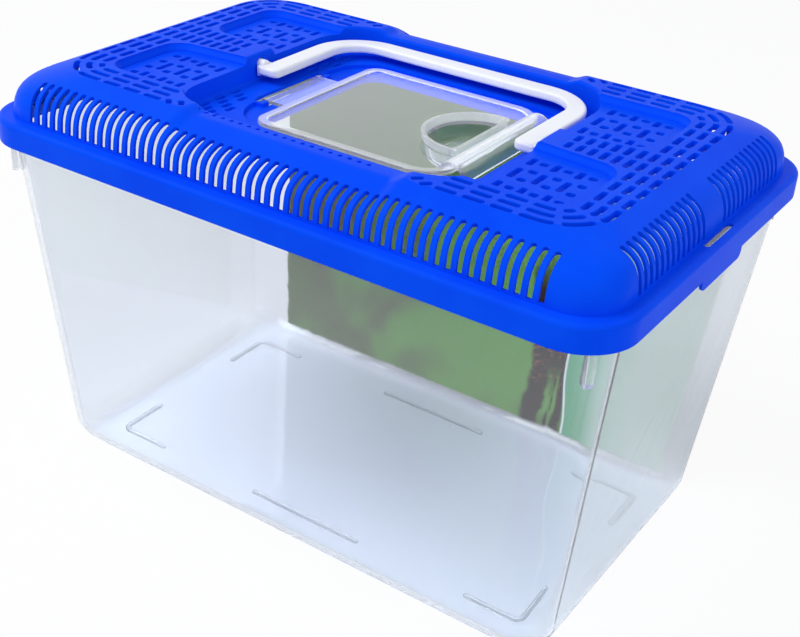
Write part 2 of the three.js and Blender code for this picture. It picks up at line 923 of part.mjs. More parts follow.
// Curled lip along the free end of the hatch, as a bent strip
function lipProfile() {
  const centre = new THREE.Vector2(lipEnd - lipRadius, hatchUnderside - lipThickness);
  const arc = (radius, share) => {
    const angle = Math.PI * lipSweepShare * share;
    return new THREE.Vector2(Math.cos(angle), Math.sin(angle)).multiplyScalar(radius).add(centre);
  };
  const points = [];
  for (let step = 0; step <= lipSteps; step += 1) {
    points.push(arc(lipRadius, step / lipSteps));
  }
  for (let step = lipSteps; step >= 0; step -= 1) {
    points.push(arc(lipRadius - lipThickness, step / lipSteps));
  }
  return points;
}

function buildHatch() {
  const beadTop = hatchUnderside + beadHeight;
  const plate = loft([
    { points: hatchOutline(0), height: hatchUnderside },
    { points: hatchOutline(0), height: beadTop - beadRound },
    { points: hatchOutline(-beadRound), height: beadTop },
  ]);
  const panelCut = prism(hatchOutline(-beadWidth), hatchPanelTop, beadTop + overrun);
  const rimTop = hatchPanelTop + pocketRimRise;
  const pocketFloor = rimTop - pocketDepth;
  const pocket = loft([
    { points: pocketOutline(-pocketTaper), height: pocketFloor },
    { points: pocketOutline(0), height: rimTop },
  ]);
  const pocketCut = loft([
    { points: pocketOutline(-pocketTaper - pocketWall), height: pocketFloor + pocketWall },
    { points: pocketOutline(-pocketWall), height: rimTop + overrun },
  ]);
  const tongue = prism(
    roundedBounds(hingeX, hatchLeft + beadWidth, -tongueHalfWidth, tongueHalfWidth, 0),
    hatchUnderside,
    hatchPanelTop,
  );
  const pinReach = tongueHalfWidth + hingePinReach;
  const pin = pinAlongDepth(hingePinRadius, hingeX, -pinReach, pinReach, hingeHeight);
  const lipHalf = hatchHalfDepth - lipEndMargin;
  const lip = alongDepth(lipProfile(), -lipHalf, lipHalf);
  return toSolid(plate)
    .subtract(toSolid(panelCut))
    .add(joined([pocket, tongue, pin, lip]))
    .subtract(toSolid(pocketCut));
}

function buildHandle() {
  const outline = roundedOutline([
    { x: armOuter, y: -handleHeel, radius: 0 },
    { x: armOuter, y: gripOuter, radius: handleOuterRadius },
    { x: -armOuter, y: gripOuter, radius: handleOuterRadius },
    { x: -armOuter, y: -handleHeel, radius: 0 },
    { x: -armInner, y: -handleHeel, radius: 0 },
    { x: -armInner, y: gripInner, radius: handleInnerRadius },
    { x: armInner, y: gripInner, radius: handleInnerRadius },
    { x: armInner, y: -handleHeel, radius: 0 },
  ]);
  const bar = new THREE.ExtrudeGeometry(new THREE.Shape(outline), {
    depth: handleHeight - 2 * handleBevel,
    bevelThickness: handleBevel,
    bevelSize: handleBevel,
    bevelOffset: -handleBevel,
    bevelSegments: 2,
  });
  bar.translate(0, 0, handleBottom + handleBevel);
  const pieces = [bar];
  const block = roundedBounds(
    -pivotHalfWidth,
    pivotHalfWidth,
    handlePinHeight - pivotHeight / 2,
    handlePinHeight + pivotHeight / 2,
    pivotRadius,
  );
  for (const end of ends) {
    const spans = [
      [armOuter - armWidth / 2, armOuter + pivotLength],
      [armOuter, armOuter + pivotLength + handlePinLength],
    ].map((span) => span.map((x) => x * end).sort((a, b) => a - b));
    pieces.push(alongLength(block, ...spans[0]));
    pieces.push(pinAlongLength(handlePinRadius, ...spans[1], handlePinHeight));
  }
  return joined(pieces);
}

const tank = new THREE.Group();

function addPiece(name, solid, color, roughness) {
  const material = new THREE.MeshStandardMaterial({ color, roughness, metalness: 0 });
  const mesh = new THREE.Mesh(toGeometry(solid), material);
  mesh.name = name;
  tank.add(mesh);
}

addPiece('tub', buildTub(), plasticClear, 0.12);
addPiece('label_card', buildCard(), cardGreen, 0.55);
addPiece('lid', buildLid(), plasticBlue, 0.32);
addPiece('hatch', buildHatch(), plasticClear, 0.08);
addPiece('handle', buildHandle(), plasticWhite, 0.4);

export default tank;
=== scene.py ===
import math

import bmesh
import bpy
from bpy.props import FloatProperty, FloatVectorProperty, IntProperty, PointerProperty
from bpy.types import Operator, Panel, PropertyGroup
from mathutils import Matrix, Vector


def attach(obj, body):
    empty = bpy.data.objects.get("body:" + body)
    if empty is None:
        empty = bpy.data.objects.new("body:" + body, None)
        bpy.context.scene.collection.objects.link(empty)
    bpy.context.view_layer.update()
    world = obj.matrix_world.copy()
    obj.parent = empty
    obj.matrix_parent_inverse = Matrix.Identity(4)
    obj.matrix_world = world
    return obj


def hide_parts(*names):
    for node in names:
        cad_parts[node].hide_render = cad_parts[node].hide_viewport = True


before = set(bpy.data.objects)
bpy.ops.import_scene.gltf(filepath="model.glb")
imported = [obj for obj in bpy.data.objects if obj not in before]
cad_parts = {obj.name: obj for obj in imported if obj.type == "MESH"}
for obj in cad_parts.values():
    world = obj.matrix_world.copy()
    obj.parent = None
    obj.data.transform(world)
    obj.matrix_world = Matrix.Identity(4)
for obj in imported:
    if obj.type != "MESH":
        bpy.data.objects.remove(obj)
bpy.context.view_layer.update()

bl_info = {
    "name": "Clear Plastic Tank",
    "version": (1, 0, 0),
    "blender": (4, 5, 0),
    "location": "View3D > Sidebar > Tank",
    "description": "Dresses a clear plastic tank with a ventilated lid, a hatch and a folding handle",
    "category": "Object",
}

# The rest frame has X along the tank, Y from its front to its back and Z up, with the origin on
# the table under the middle of the tub. All sizes are in metres.
MM = 0.001
QUADRANTS = ((1, 1), (-1, 1), (-1, -1), (1, -1))
ENDS = (1, -1)

CORNER_STEPS = 12
SMALL_CORNER_STEPS = 4
PIN_STEPS = 32
SMOOTH_ANGLE = math.radians(38)
LEVEL = 0.999
OVERRUN = 1.5 * MM
LID_CELL = 7.3 * MM
TUB_CELL = 31.0 * MM
HATCH_CELL = 9.7 * MM


def number(name, description, value, **limits):
    return FloatProperty(name=name, description=description, default=value, **limits)


def size(name, description, millimetres):
    return number(name, description, millimetres * MM, min=0.0, unit="LENGTH", precision=5)


def colour(name, description, value):
    return FloatVectorProperty(
        name=name, description=description, default=value, subtype="COLOR", min=0.0, max=1.0
    )


class TubSizes(PropertyGroup):
    wall: size("Wall", "Thickness of every moulded wall", 1.8)
    half_length: size("Half length", "Half of the tub's length at its rim", 121.1)
    half_depth: size("Half depth", "Half of the tub's depth at its rim", 74.65)
    corner: size("Corner", "Radius of the tub's upright corners", 12.9)
    height: size("Height", "Height of the rim above the table", 140.1)
    end_taper: size("End taper", "How far each end draws in towards the floor", 11.75)
    side_taper: size("Side taper", "How far each side draws in towards the floor", 9.9)
    bottom_round: size("Bottom round", "Radius between the walls and the floor", 12.0)
    end_flange: size("End flange", "How far the flange stands out at the ends", 1.7)
    side_flange: size("Side flange", "How far the flange stands out at the sides", 3.85)
    flange_corner: size("Flange corner", "Radius of the flange's corners", 16.8)
    fin_drop: size("Fin height", "Height of the fins under the flange's corners", 20.0)
    fin_width: size("Fin width", "Thickness of those fins", 3.0)
    foot_height: size("Foot height", "Height of the ridges under the floor", 0.8)
    foot_width: size("Foot width", "Width of those ridges", 2.2)
    foot_leg: size("Corner foot", "Length of a corner ridge's legs", 23.5)
    foot_middle: size("Middle foot", "Length of the ridges in the middle of the sides", 50.0)
    end_foot: size("Foot at the ends", "From the floor's edge to a ridge", 3.9)
    side_foot: size("Foot at the sides", "From the floor's edge to a ridge", 7.5)


class LidSizes(PropertyGroup):
    wall: size("Wall", "Thickness of the lid's sides", 1.0)
    top_wall: size("Top wall", "Thickness of the flat top, the basin's floor and the recesses", 2.5)
    half_length: size("Half length", "Half of the lid's length over its skirt", 125.0)
    half_depth: size("Half depth", "Half of the lid's depth over its skirt", 80.7)
    corner: size("Skirt corner", "Radius of the skirt's corners", 19.0)
    skirt_height: size("Skirt height", "Height of the skirt below the ledge", 8.95)
    ledge_top: size("Ledge height", "Height of the ledge above the table", 142.2)
    ledge_width: size("Ledge width", "Width of the ledge round the dome", 4.8)
    dome_rise: size("Dome rise", "Height of the dome above the ledge", 16.8)
    dome_inset: size("Dome inset", "How far the dome draws in on its way up", 15.0)
    dome_foot_corner: size("Dome foot corner", "Corner radius at the dome's foot", 16.0)
    dome_top_corner: size("Dome top corner", "Corner radius at the flat top", 19.0)
    band_half_length: size("Low band", "Half length of the lower middle of the rim", 38.5)
    band_drop: size("Band drop", "How much lower the middle of the rim lies", 1.8)
    band_slope: size("Band slope", "Length of the slope up to each raised end", 6.0)
    basin_half_length: size("Basin half length", "Half of the basin's length", 60.2)
    basin_half_depth: size("Basin half depth", "Half of the basin's depth", 53.6)
    basin_corner: size("Basin corner", "Radius of the basin's corners", 19.0)
    basin_depth: size("Basin depth", "Depth of the basin below the flat top", 9.8)
    seat_depth: size("Seat depth", "Depth of the hatch's seat in the basin's floor", 1.4)
    recess_depth: size("Recess depth", "Depth of the recesses beside each ridge", 2.8)
    ridge_near: size("Ridge at the basin", "Half width of the ridge beside the basin", 6.6)
    ridge_far: size("Ridge at the end", "Half width of the ridge at its outer end", 10.0)

    @property
    def top(self):
        return self.ledge_top + self.dome_rise

    @property
    def basin_floor(self):
        return self.top - self.basin_depth

    def dome_half(self, inset):
        """Half length and half depth of the dome where it has drawn in by an amount."""
        return [half - self.ledge_width - inset for half in (self.half_length, self.half_depth)]


class SlotSizes(PropertyGroup):
    upright_width: size("Upright slot", "Width of the slots in the dome's sides", 2.05)
    upright_pitch: size("Upright pitch", "Distance from one upright slot to the next", 3.8)
    upright_top: number("Upright top", "How far up the dome's curve they reach", 0.735,
                        min=0.0, max=1.0, subtype="FACTOR")
    level_width: size("Level slot", "Width of the slots in the top", 2.1)
    row_count: IntProperty(
        name="Rows", description="Rows of slots round each raised end", default=3, min=0, max=4
    )
    row_pitch: size("Row pitch", "Distance from one row to the next", 4.52)
    row_slot_pitch: size("Slots along a row", "Distance from one slot to the next", 9.42)
    row_web: size("Web in a row", "Plastic between two slots of a row", 2.2)


class HatchSizes(PropertyGroup):
    left: size("Left edge", "From the middle of the tank to the hatch's left edge", 35.3)
    right: size("Right edge", "From the middle of the tank to the hatch's right edge", 41.0)
    half_depth: size("Half depth", "Half of the hatch's depth", 37.3)
    middle: size("Middle", "How far the hatch's middle lies behind the tank's", 1.3)
    underside: size("Underside", "Height of the hatch's underside", 148.1)
    thickness: size("Panel", "Thickness of the hatch's panel", 1.2)
    bead_height: size("Bead height", "Height of the bead round the hatch", 1.9)
    bead_width: size("Bead width", "Width of the bead round the hatch", 3.5)
    pocket_length: size("Pocket length", "Length of the finger pocket", 22.0)
    pocket_half_width: size("Pocket half width", "Half width of the finger pocket", 19.0)
    pocket_depth: size("Pocket depth", "Depth of the finger pocket", 10.6)
    pocket_rim: size("Pocket rim", "How far the pocket's rim stands up", 3.0)
    pocket_wall: size("Pocket wall", "Thickness of the pocket's wall", 1.4)
    lip_radius: size("Lip radius", "Radius of the curled lip", 5.8)
    lip_thickness: size("Lip thickness", "Thickness of the curled lip", 1.4)
    tongue_half_width: size("Tongue", "Half width of the hinge tongue", 16.3)
    hinge_x: size("Hinge", "From the middle of the tank to the hinge pin", 46.0)
    hinge_height: size("Hinge height", "Height of the hinge pin", 147.4)
    hinge_radius: size("Hinge pin", "Radius of the hinge pin", 1.5)

    @property
    def rim(self):
        """Height of the pocket's rim."""
        return self.underside + self.thickness + self.pocket_rim


class HandleSizes(PropertyGroup):
    arm_outer: size("Arm outer face", "From the middle of the tank to an arm's outer face", 57.3)
    arm_width: size("Arm width", "Width of each arm", 8.0)
    grip_outer: size("Grip outer face", "From the pivots to the grip's far face", 51.6)
    grip_width: size("Grip width", "Width of the grip", 7.5)
    bottom: size("Underside", "Height of the folded handle's underside", 152.0)
    thickness: size("Thickness", "Thickness of the handle", 3.5)
    outer_corner: size("Outer corner", "Outer radius of the handle's corners", 22.0)
    inner_corner: size("Inner corner", "Inner radius of the handle's corners", 12.0)
    edge_round: size("Edge round", "Radius along the handle's edges", 1.15)
    heel: size("Heel", "How far the arms reach past the pivots", 4.0)
    pivot_height: size("Pivot height", "Height of the pivot pins", 155.0)
    pivot_length: size("Pivot block", "How far a pivot block stands out from its arm", 1.8)
    pin_radius: size("Pivot pin", "Radius of the pivot pins", 1.8)
    pin_length: size("Pivot pin length", "Length of the pivot pins", 5.0)

    @property
    def block_end(self):
        return self.arm_outer + self.pivot_length

    @property
    def pin_end(self):
        return self.block_end + self.pin_length


class TankColours(PropertyGroup):
    lid: colour("Lid", "Blue of the lid's plastic", (0.002, 0.074, 0.88))
    lid_deep: colour("Lid, deeper", "Blue in the plastic's darker clouds", (0.0015, 0.06, 0.84))
    lid_sheen: colour("Lid sheen", "Tint of the lid's highlights", (0.05, 0.45, 1.0))
    handle_sheen: colour("Handle sheen", "Tint of the handle's highlights", (1.0, 1.0, 1.0))
    handle: colour("Handle", "White of the handle's plastic", (0.84, 0.86, 0.92))
    clear: colour("Tub", "Tint of the tub's clear plastic", (0.935, 0.96, 1.0))
    clear_hatch: colour("Hatch", "Tint of the hatch's clear plastic", (0.935, 0.97, 0.995))
    print_dark: colour("Print, dark", "Grey green at the picture's upper left", (0.105, 0.125, 0.07))
    print_green: colour("Print, green", "Green of the picture", (0.135, 0.36, 0.07))
    print_shade: colour("Print, shade", "Deep green along the picture's foot", (0.085, 0.15, 0.05))
    print_mist: colour("Print, mist", "Pale green in the picture's upper part", (0.20, 0.31, 0.15))
    print_bark: colour("Print, bark", "Brown of the branch in the picture", (0.022, 0.012, 0.010))
    print_warm: colour("Print, warm", "Warm light on the branch", (0.32, 0.10, 0.035))
    print_mint: colour("Print, mint", "Green of the side panel at the divider", (0.16, 0.46, 0.25))
    print_pale: colour("Print, pale", "Pale green of the side panel", (0.50, 0.66, 0.54))


class TankStageSetup(PropertyGroup):
    azimuth: number("Azimuth", "Camera's turn to the right of the front",
                    math.radians(34.024), subtype="ANGLE")
    elevation: number("Elevation", "Camera's height above the horizon",
                      math.radians(29.018), subtype="ANGLE")
    roll: number("Roll", "Camera's tilt about its own axis", math.radians(2.789), subtype="ANGLE")
    distance: size("Distance", "From the camera to the point that it turns about", 498.81)
    aim_right: number("Aim right", "Aim point's place across the view", -8.613 * MM, unit="LENGTH")
    aim_up: number("Aim up", "Aim point's place up the view", -1.043 * MM, unit="LENGTH")
    aim_height: size("Aim height", "Height of the point that the camera turns about", 76.923)
    focal_length: number("Focal length", "Focal length on a 36 mm wide sensor", 59.406)
    shift_right: number("Shift right", "Lens shift across the view", 0.05)
    shift_up: number("Shift up", "Lens shift up the view", -0.0231)
    sky: number("Sky", "Strength of the soft light from all round", 0.55, min=0.0)
    key: number("Key lamp", "Power of the large lamp at the upper left, in watts", 7.5, min=0.0)
    fill: number("Fill lamp", "Power of the lamp at the right, in watts", 2.0, min=0.0)


# Meshes are made with bmesh and joined or cut by Boolean modifiers.


def outline(corners, height, steps):
    """Places round a level outline through a few corners (x, y, radius), each one rounded."""
    bm = bmesh.new()
    verts = [bm.verts.new((x, y, height)) for x, y, _ in corners]
    face = bm.faces.new(verts)
    for vert, (_, _, radius) in zip(verts, corners):
        if radius > 0:
            rounded = bmesh.ops.bevel(
                bm, geom=[vert], offset=radius, offset_type="OFFSET", segments=steps,
                profile=0.5, affect="VERTICES", material=-1, clamp_overlap=False,
            )
            face = rounded["verts"][0].link_faces[0]
    places = [vert.co.copy() for vert in face.verts]
    bm.free()
    return places


def box_corners(left, right, front, back, left_radius=0.0, right_radius=None, grow=0.0):
    """Corners of a box that is larger by an amount all round."""
    right_radius = left_radius if right_radius is None else right_radius
    return [
        (right + grow, back + grow, right_radius + grow),
        (left - grow, back + grow, left_radius + grow),
        (left - grow, front - grow, left_radius + grow),
        (right + grow, front - grow, right_radius + grow),
    ]


def even_corners(half_length, half_depth, radius, grow=0.0):
    return box_corners(
        -half_length, half_length, -half_depth, half_depth, radius, grow=grow
    )


def flip(corners, signs):
    return [(x * signs[0], y * signs[1], radius) for x, y, radius in corners]


def quarter(radius, steps=4):
    """Pairs round a quarter circle: one falls from the radius to 0, the other rises to it."""
    bends = [math.pi / 2 * step / steps for step in range(steps + 1)]
    return [(radius * (1 - math.sin(bend)), radius * (1 - math.cos(bend))) for bend in bends]


def extrude(bm, face):
    """Draws a face out of itself and returns the new one."""
    made = bmesh.ops.extrude_face_region(bm, geom=[face])
    return next(item for item in made["geom"] if isinstance(item, bmesh.types.BMFace))


def stack(bm, rings, steps=CORNER_STEPS, placing=Matrix()):
    """Closed body through rings of (corners, height), which have as many corners as each other."""
    first, *others = [
        [placing @ place for place in outline(corners, height, steps)] for corners, height in rings
    ]
    face = bm.faces.new([bm.verts.new(place) for place in first])
    inner = []
    for places in others:
        face = extrude(bm, face)
        for vert, place in zip(face.verts, places):
            vert.co = place
        inner.append(face)
    bmesh.ops.delete(bm, geom=inner[:-1], context="FACES_ONLY")


def prism(bm, corners, bottom, top, steps=SMALL_CORNER_STEPS, placing=Matrix()):
    stack(bm, [(corners, bottom), (corners, top)], steps, placing)


def pin(bm, radius, start, end, steps=PIN_STEPS):
    """Round bar between two points."""
    axis = Vector(end) - Vector(start)
    turn = axis.to_track_quat("Z", "Y").to_matrix().to_4x4()
    bmesh.ops.create_cone(
        bm, cap_ends=True, segments=steps, radius1=radius, radius2=radius, depth=axis.length,
        matrix=Matrix.Translation((Vector(start) + Vector(end)) / 2) @ turn,
    )


def side_cut(bm, profile, start, end, along_depth):
    """Closed body with a profile of (distance, height), run along Y or X. Returns its corners."""
    verts = [bm.verts.new((a, start, z) if along_depth else (start, a, z)) for a, z in profile]
    far = extrude(bm, bm.faces.new(verts))
    move = (0, end - start, 0) if along_depth else (end - start, 0, 0)
    bmesh.ops.translate(bm, verts=far.verts, vec=move)
    return [*verts, *far.verts]


def soften(bm, edges, radius, segments=3):
    bmesh.ops.bevel(
        bm, geom=edges, offset=radius, offset_type="OFFSET", segments=segments,
        profile=0.5, affect="EDGES", material=-1, clamp_overlap=False,
    )


def level_edges(bm, high=math.inf):
    """Edges that lie level, below a height."""
    return [
        e for e in bm.edges
        if abs(e.verts[0].co.z - e.verts[1].co.z) < MM / 100 and e.verts[0].co.z < high
    ]


def divide_level(bm, cell):
    """Divides the level faces into cells, so that no face is left with many holes."""
    reach = max(max(abs(vert.co.x), abs(vert.co.y)) for vert in bm.verts)
    for axis in (Vector((1, 0, 0)), Vector((0, 1, 0))):
        for place in range(-int(reach / cell), int(reach / cell) + 1):
            faces = [face for face in bm.faces if abs(face.normal.z) > LEVEL]
            geom = {*faces, *(e for f in faces for e in f.edges), *(v for f in faces for v in f.verts)}
            bmesh.ops.bisect_plane(bm, geom=list(geom), plane_co=axis * place * cell, plane_no=axis)


def solid(maker, *sizes, cell=0.0):
    """Mesh data of the closed bodies that a maker puts in a bmesh."""
    bm = bmesh.new()
    maker(bm, *sizes)
    bmesh.ops.recalc_face_normals(bm, faces=bm.faces)
    if bm.calc_volume(signed=True) < 0:
        bmesh.ops.reverse_faces(bm, faces=bm.faces)
    if cell > 0:
        divide_level(bm, cell)
    mesh = bpy.data.meshes.new("solid")
    bm.to_mesh(mesh)
    bm.free()
    return mesh


def combine(body, tool, operation):
    """Mesh data of a body after a Boolean with a tool. Both are used up."""
    pair = [bpy.data.objects.new("shape", mesh) for mesh in (body, tool)]
    for item in pair:
        bpy.context.scene.collection.objects.link(item)
    modifier = pair[0].modifiers.new("Combine", "BOOLEAN")
    modifier.operation = operation
    modifier.solver = "MANIFOLD"
    modifier.object = pair[1]
    depsgraph = bpy.context.evaluated_depsgraph_get()
    result = bpy.data.meshes.new_from_object(pair[0].evaluated_get(depsgraph))
    for item in pair:
        mesh = item.data
        bpy.data.objects.remove(item)
        bpy.data.meshes.remove(mesh)
    if not result.polygons:
        raise RuntimeError("a Boolean left nothing")
    return result


def cut(body, *tools):
    for tool in tools:
        body = combine(body, tool, "DIFFERENCE")
    return body


def join(body, *tools):
    for tool in tools:
        body = combine(body, tool, "UNION")
    return body


def finish_piece(name, mesh, node, finish):
    """Puts a finished mesh in the scene in place of a node, on the body of the same name."""
    mesh.name = name
    mesh.materials.clear()
    mesh.materials.append(finish)
    mesh.shade_smooth()
    mesh.set_sharp_from_angle(angle=SMOOTH_ANGLE)
    piece = bpy.data.objects.new(name, mesh)
    bpy.context.scene.collection.objects.link(piece)
    piece.modifiers.new("Flat faces", "WEIGHTED_NORMAL").keep_sharp = True
    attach(piece, node)
    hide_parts(node)


# Materials

PLASTIC_IOR = 1.5
WHITE = (1.0, 1.0, 1.0, 1.0)
# White of the clear plastic's milky haze and of its painted sheen and highlights
MILKY_AND_SHEEN = (0.93, 0.95, 0.98, 1.0)
DIVIDER_WHITE = (0.86, 0.9, 0.87)

# Places on the card, in millimetres to the right of its middle
BRANCH_X = 41.5
DIVIDER_X = 51.5


class Value:
    """Socket of a shader node, which takes part in sums."""

    def __init__(self, tree, socket):
        self.tree = tree
        self.socket = socket

    def math(self, operation, *others):
        return self.tree.node("Math", dict(enumerate((self, *others))), operation=operation)

    def __add__(self, other):
        return self.math("ADD", other)

    def __sub__(self, other):
        return self.math("SUBTRACT", other)

    def __mul__(self, other):
        return self.math("MULTIPLY", other)

    def __rsub__(self, other):
        return self.tree.node("Math", {0: other, 1: self}, operation="SUBTRACT")

    __radd__ = __add__
    __rmul__ = __mul__

    def size(self):
        return self.math("ABSOLUTE")

    def sine(self):
        return self.math("SINE")

    def step(self, low, high):
        """0 below low, 1 above high and a smooth rise between them."""
        values = {"Value": self, "From Min": low, "From Max": high}
        return self.tree.node("MapRange", values, interpolation_type="SMOOTHSTEP")


class Shader:
    """Node tree of a material or a world, whose nodes are made by one method."""

    def __init__(self, owner):
        owner.use_nodes = True
        self.owner = owner
        self.nodes = owner.node_tree.nodes
        self.links = owner.node_tree.links
        self.nodes.clear()

    def node(self, kind, inputs=None, output=0, **settings):
        made = self.nodes.new("ShaderNode" + kind)
        for key, value in settings.items():
            setattr(made, key, value)
        for key, value in (inputs or {}).items():
            if isinstance(value, Value):
                self.links.new(value.socket, made.inputs[key])
            else:
                made.inputs[key].default_value = value
        return Value(self, made.outputs[output]) if made.outputs else made

    def place(self):
        """Object coordinates in millimetres."""
        coordinates = self.node("TexCoord", output="Object")
        return self.node("VectorMath", {0: coordinates, "Scale": 1 / MM}, operation="SCALE")

    def axes(self, place):
        return [self.node("SeparateXYZ", {0: place}, output=axis) for axis in range(3)]

    def noise(self, place, scale, detail=3.0, roughness=0.55, distortion=0.0):
        return self.node("TexNoise", {
            "Vector": place, "Scale": scale, "Detail": detail,
            "Roughness": roughness, "Distortion": distortion,
        })

    def mix(self, factor, low, high):
        """Colour between low and high."""
        low, high = (c if isinstance(c, Value) else (*c, 1.0) for c in (low, high))
        return self.node("Mix", {0: factor, 6: low, 7: high}, output=2, data_type="RGBA")

    def blend(self, factor, low, high):
        """Shader between low and high."""
        return self.node("MixShader", {0: factor, 1: low, 2: high})

    def bump(self, height, strength, distance):
        return self.node("Bump", {"Height": height, "Strength": strength, "Distance": distance})

    def ray(self, kind):
        """1 for a kind of ray and 0 for the others."""
        return self.node("LightPath", output=f"Is {kind} Ray")

    def surface(self, shader, output="OutputMaterial"):
        self.node(output, {"Surface": shader})
        return self.owner


def material(name):
    return Shader(bpy.data.materials.new(name))


def moulded_plastic(name, main, deep, sheen, gloss, roughness):
    """Opaque moulded plastic: faint clouds in the colour, a fine grain and flow marks."""
    shader = material(name)
    place = shader.place()
    clouds = shader.noise(place, 0.035, detail=4.0)
    flow = shader.noise(place, 0.22, detail=5.0, distortion=1.2)
    grain = shader.noise(place, 6.0, detail=2.0)
    return shader.surface(shader.node("BsdfPrincipled", {
        "Base Color": shader.mix(clouds.step(0.3, 0.7), deep, main),
        "Roughness": roughness + (flow - 0.5) * 0.12 + (grain - 0.5) * 0.06,
        "IOR": PLASTIC_IOR,
        "Specular IOR Level": gloss,
        "Specular Tint": (*sheen, 1.0),
        "Normal": shader.bump(flow * 0.7 + grain * 0.08, 0.35, 0.06 * MM),
    }))


def clear_plastic(name, tint, roughness, wave, haze, painted_highlight_at):
    """Clear moulded plastic that lets lamps through, faintly milky, with painted highlights: whiter where
    it is seen edge on and on the thick parts that a mask picks out.
    """
    shader = material(name)
    place = shader.place()
    flow = shader.noise(place, 0.03, detail=3.0, distortion=0.6)
    scuffs = shader.noise(place, 0.9, detail=6.0, roughness=0.7)
    plastic = shader.node("BsdfPrincipled", {
        "Base Color": (*tint, 1.0),
        "Roughness": roughness + scuffs.step(0.55, 0.8) * 0.05,
        "IOR": PLASTIC_IOR,
        "Transmission Weight": 1.0,
        "Normal": shader.bump(flow, wave, 0.4 * MM),
    })
    milky_and_sheen = shader.node("BsdfDiffuse", {"Color": MILKY_AND_SHEEN})
    # Painted sheen: more milky white is mixed in where the surface is seen edge on; the haze and scuffs
    # below are the plastic's own.
    turned = shader.node("LayerWeight", {"Blend": 0.5}, output="Facing")
    painted_edge_sheen = turned.math("POWER", 3.0) * 0.16
    haze_and_sheen = haze + scuffs.step(0.45, 0.9) * 0.03 + painted_edge_sheen + painted_highlight_at(*shader.axes(place))
    clear = shader.node("BsdfTransparent", {"Color": (*tint, 1.0)})
    seen = shader.blend(haze_and_sheen, plastic, milky_and_sheen)
    return shader.surface(shader.blend(shader.ray("Shadow"), seen, clear))


def printed_card(colours):
    """Card with a soft green picture, a white wavy divider and a pale green side panel."""
    shader = material("printed_card")
    place = shader.place()
    x, _, z = shader.axes(place)
    blur = shader.noise(place, 0.021, detail=2.0, distortion=0.4)
    fine = shader.noise(place, 0.11, detail=4.0, distortion=0.8)
    glow = (x * 0.007) + (z * -0.001) + (blur * 3.2) - 1.05
    picture = shader.mix(glow.step(-0.1, 0.9), colours.print_dark, colours.print_green)
    shade = (z * -0.011) + (x * -0.006) + (blur * -2.4) + 1.3
    picture = shader.mix(shade.step(0.0, 0.6) * 0.6, picture, colours.print_shade)
    mist = shader.mix(x.step(-62.0, -20.0) * 0.6, colours.print_mist, colours.print_green)
    picture = shader.mix(z.step(58.0, 112.0) * 0.75, picture, mist)
    trunk = BRANCH_X + (z * 0.06).sine() * 2.5 + (fine - 0.5) * 6.0
    branch = 1 - (x - trunk).size().step(7.0, 9.5)
    cleft = 1 - (x - trunk - 1.5).size().step(0.6, 2.4)
    cleft = cleft * (1 - z.step(18.0, 38.0))
    branch = branch * (1 - cleft) * (1 - z.step(64.0, 88.0))
    streaks = shader.noise(place, 0.19, detail=5.0, distortion=2.6)
    warm = streaks.step(0.57, 0.66) * z.step(16.0, 26.0) * (1 - z.step(40.0, 58.0))
    bark = shader.mix(warm, colours.print_bark, colours.print_warm)
    picture = shader.mix(branch, picture, bark)
    past = x - (DIVIDER_X + ((z * 0.11) + 0.6).sine() * 2.2)
    panel = shader.mix(past.step(0.0, 34.0), colours.print_mint, colours.print_pale)
    printed = shader.mix(past.step(-0.3, 0.3), picture, panel)
    printed = shader.mix(1 - past.size().step(0.5, 0.9), printed, DIVIDER_WHITE)
    fibre = shader.noise(place, 3.0, detail=3.0)
    return shader.surface(shader.node("BsdfPrincipled", {
        "Base Color": printed,
        "Roughness": 0.42 + (fibre - 0.5) * 0.1,
        "Specular IOR Level": 0.25,
        "Normal": shader.bump(fibre, 0.2, 0.03 * MM),
    }))


# Tub

FLANGE_EDGE = 0.4 * MM
FIN_REACH = 15.5 * MM
FIN_ROUND = 0.6 * MM
FIN_HIGHLIGHT_INSET = 9.3 * MM
BOTTOM_STEPS = 8
FOOT_ROUND = 0.7 * MM
FOOT_TIP_SHARE = 0.9
TUB_FINISH = {"roughness": 0.03, "wave": 0.15, "haze": 0.025}


def tub_rings(tub, inward):
    """Rings of the tub's wall up to the end of its bottom round, and a function that adds one."""
    rings = []

    def ring(end_inset, side_inset, height):
        half_length, half_depth = tub.half_length - end_inset, tub.half_depth - side_inset
        rings.append((even_corners(half_length, half_depth, tub.corner, -inward), height))

    for inset, rise in quarter(tub.bottom_round - inward, BOTTOM_STEPS):
        ring(tub.end_taper + inset, tub.side_taper + inset, tub.foot_height + inward + rise)
    return rings, ring


def tub_outside(bm, tub):
    rings, ring = tub_rings(tub, 0.0)
    top, edge = tub.height, FLANGE_EDGE
    underside = top - tub.wall
    share = tub.wall / (top - tub.foot_height - tub.bottom_round)
    ring(tub.end_taper * share, tub.side_taper * share, underside)
    for inset, height in ((edge, underside), (0, underside + edge), (0, top - edge), (edge, top)):
        rings.append((even_corners(
            tub.half_length + tub.end_flange, tub.half_depth + tub.side_flange,
            tub.flange_corner, -inset,
        ), height))
    stack(bm, rings)


def tub_inside(bm, tub):
    rings, ring = tub_rings(tub, tub.wall)
    edge = FLANGE_EDGE
    share = edge / (tub.height - tub.foot_height - tub.bottom_round)
    ring(tub.end_taper * share, tub.side_taper * share, tub.height - edge)
    ring(-edge, -edge, tub.height)
    ring(-edge, -edge, tub.height + OVERRUN)
    stack(bm, rings)


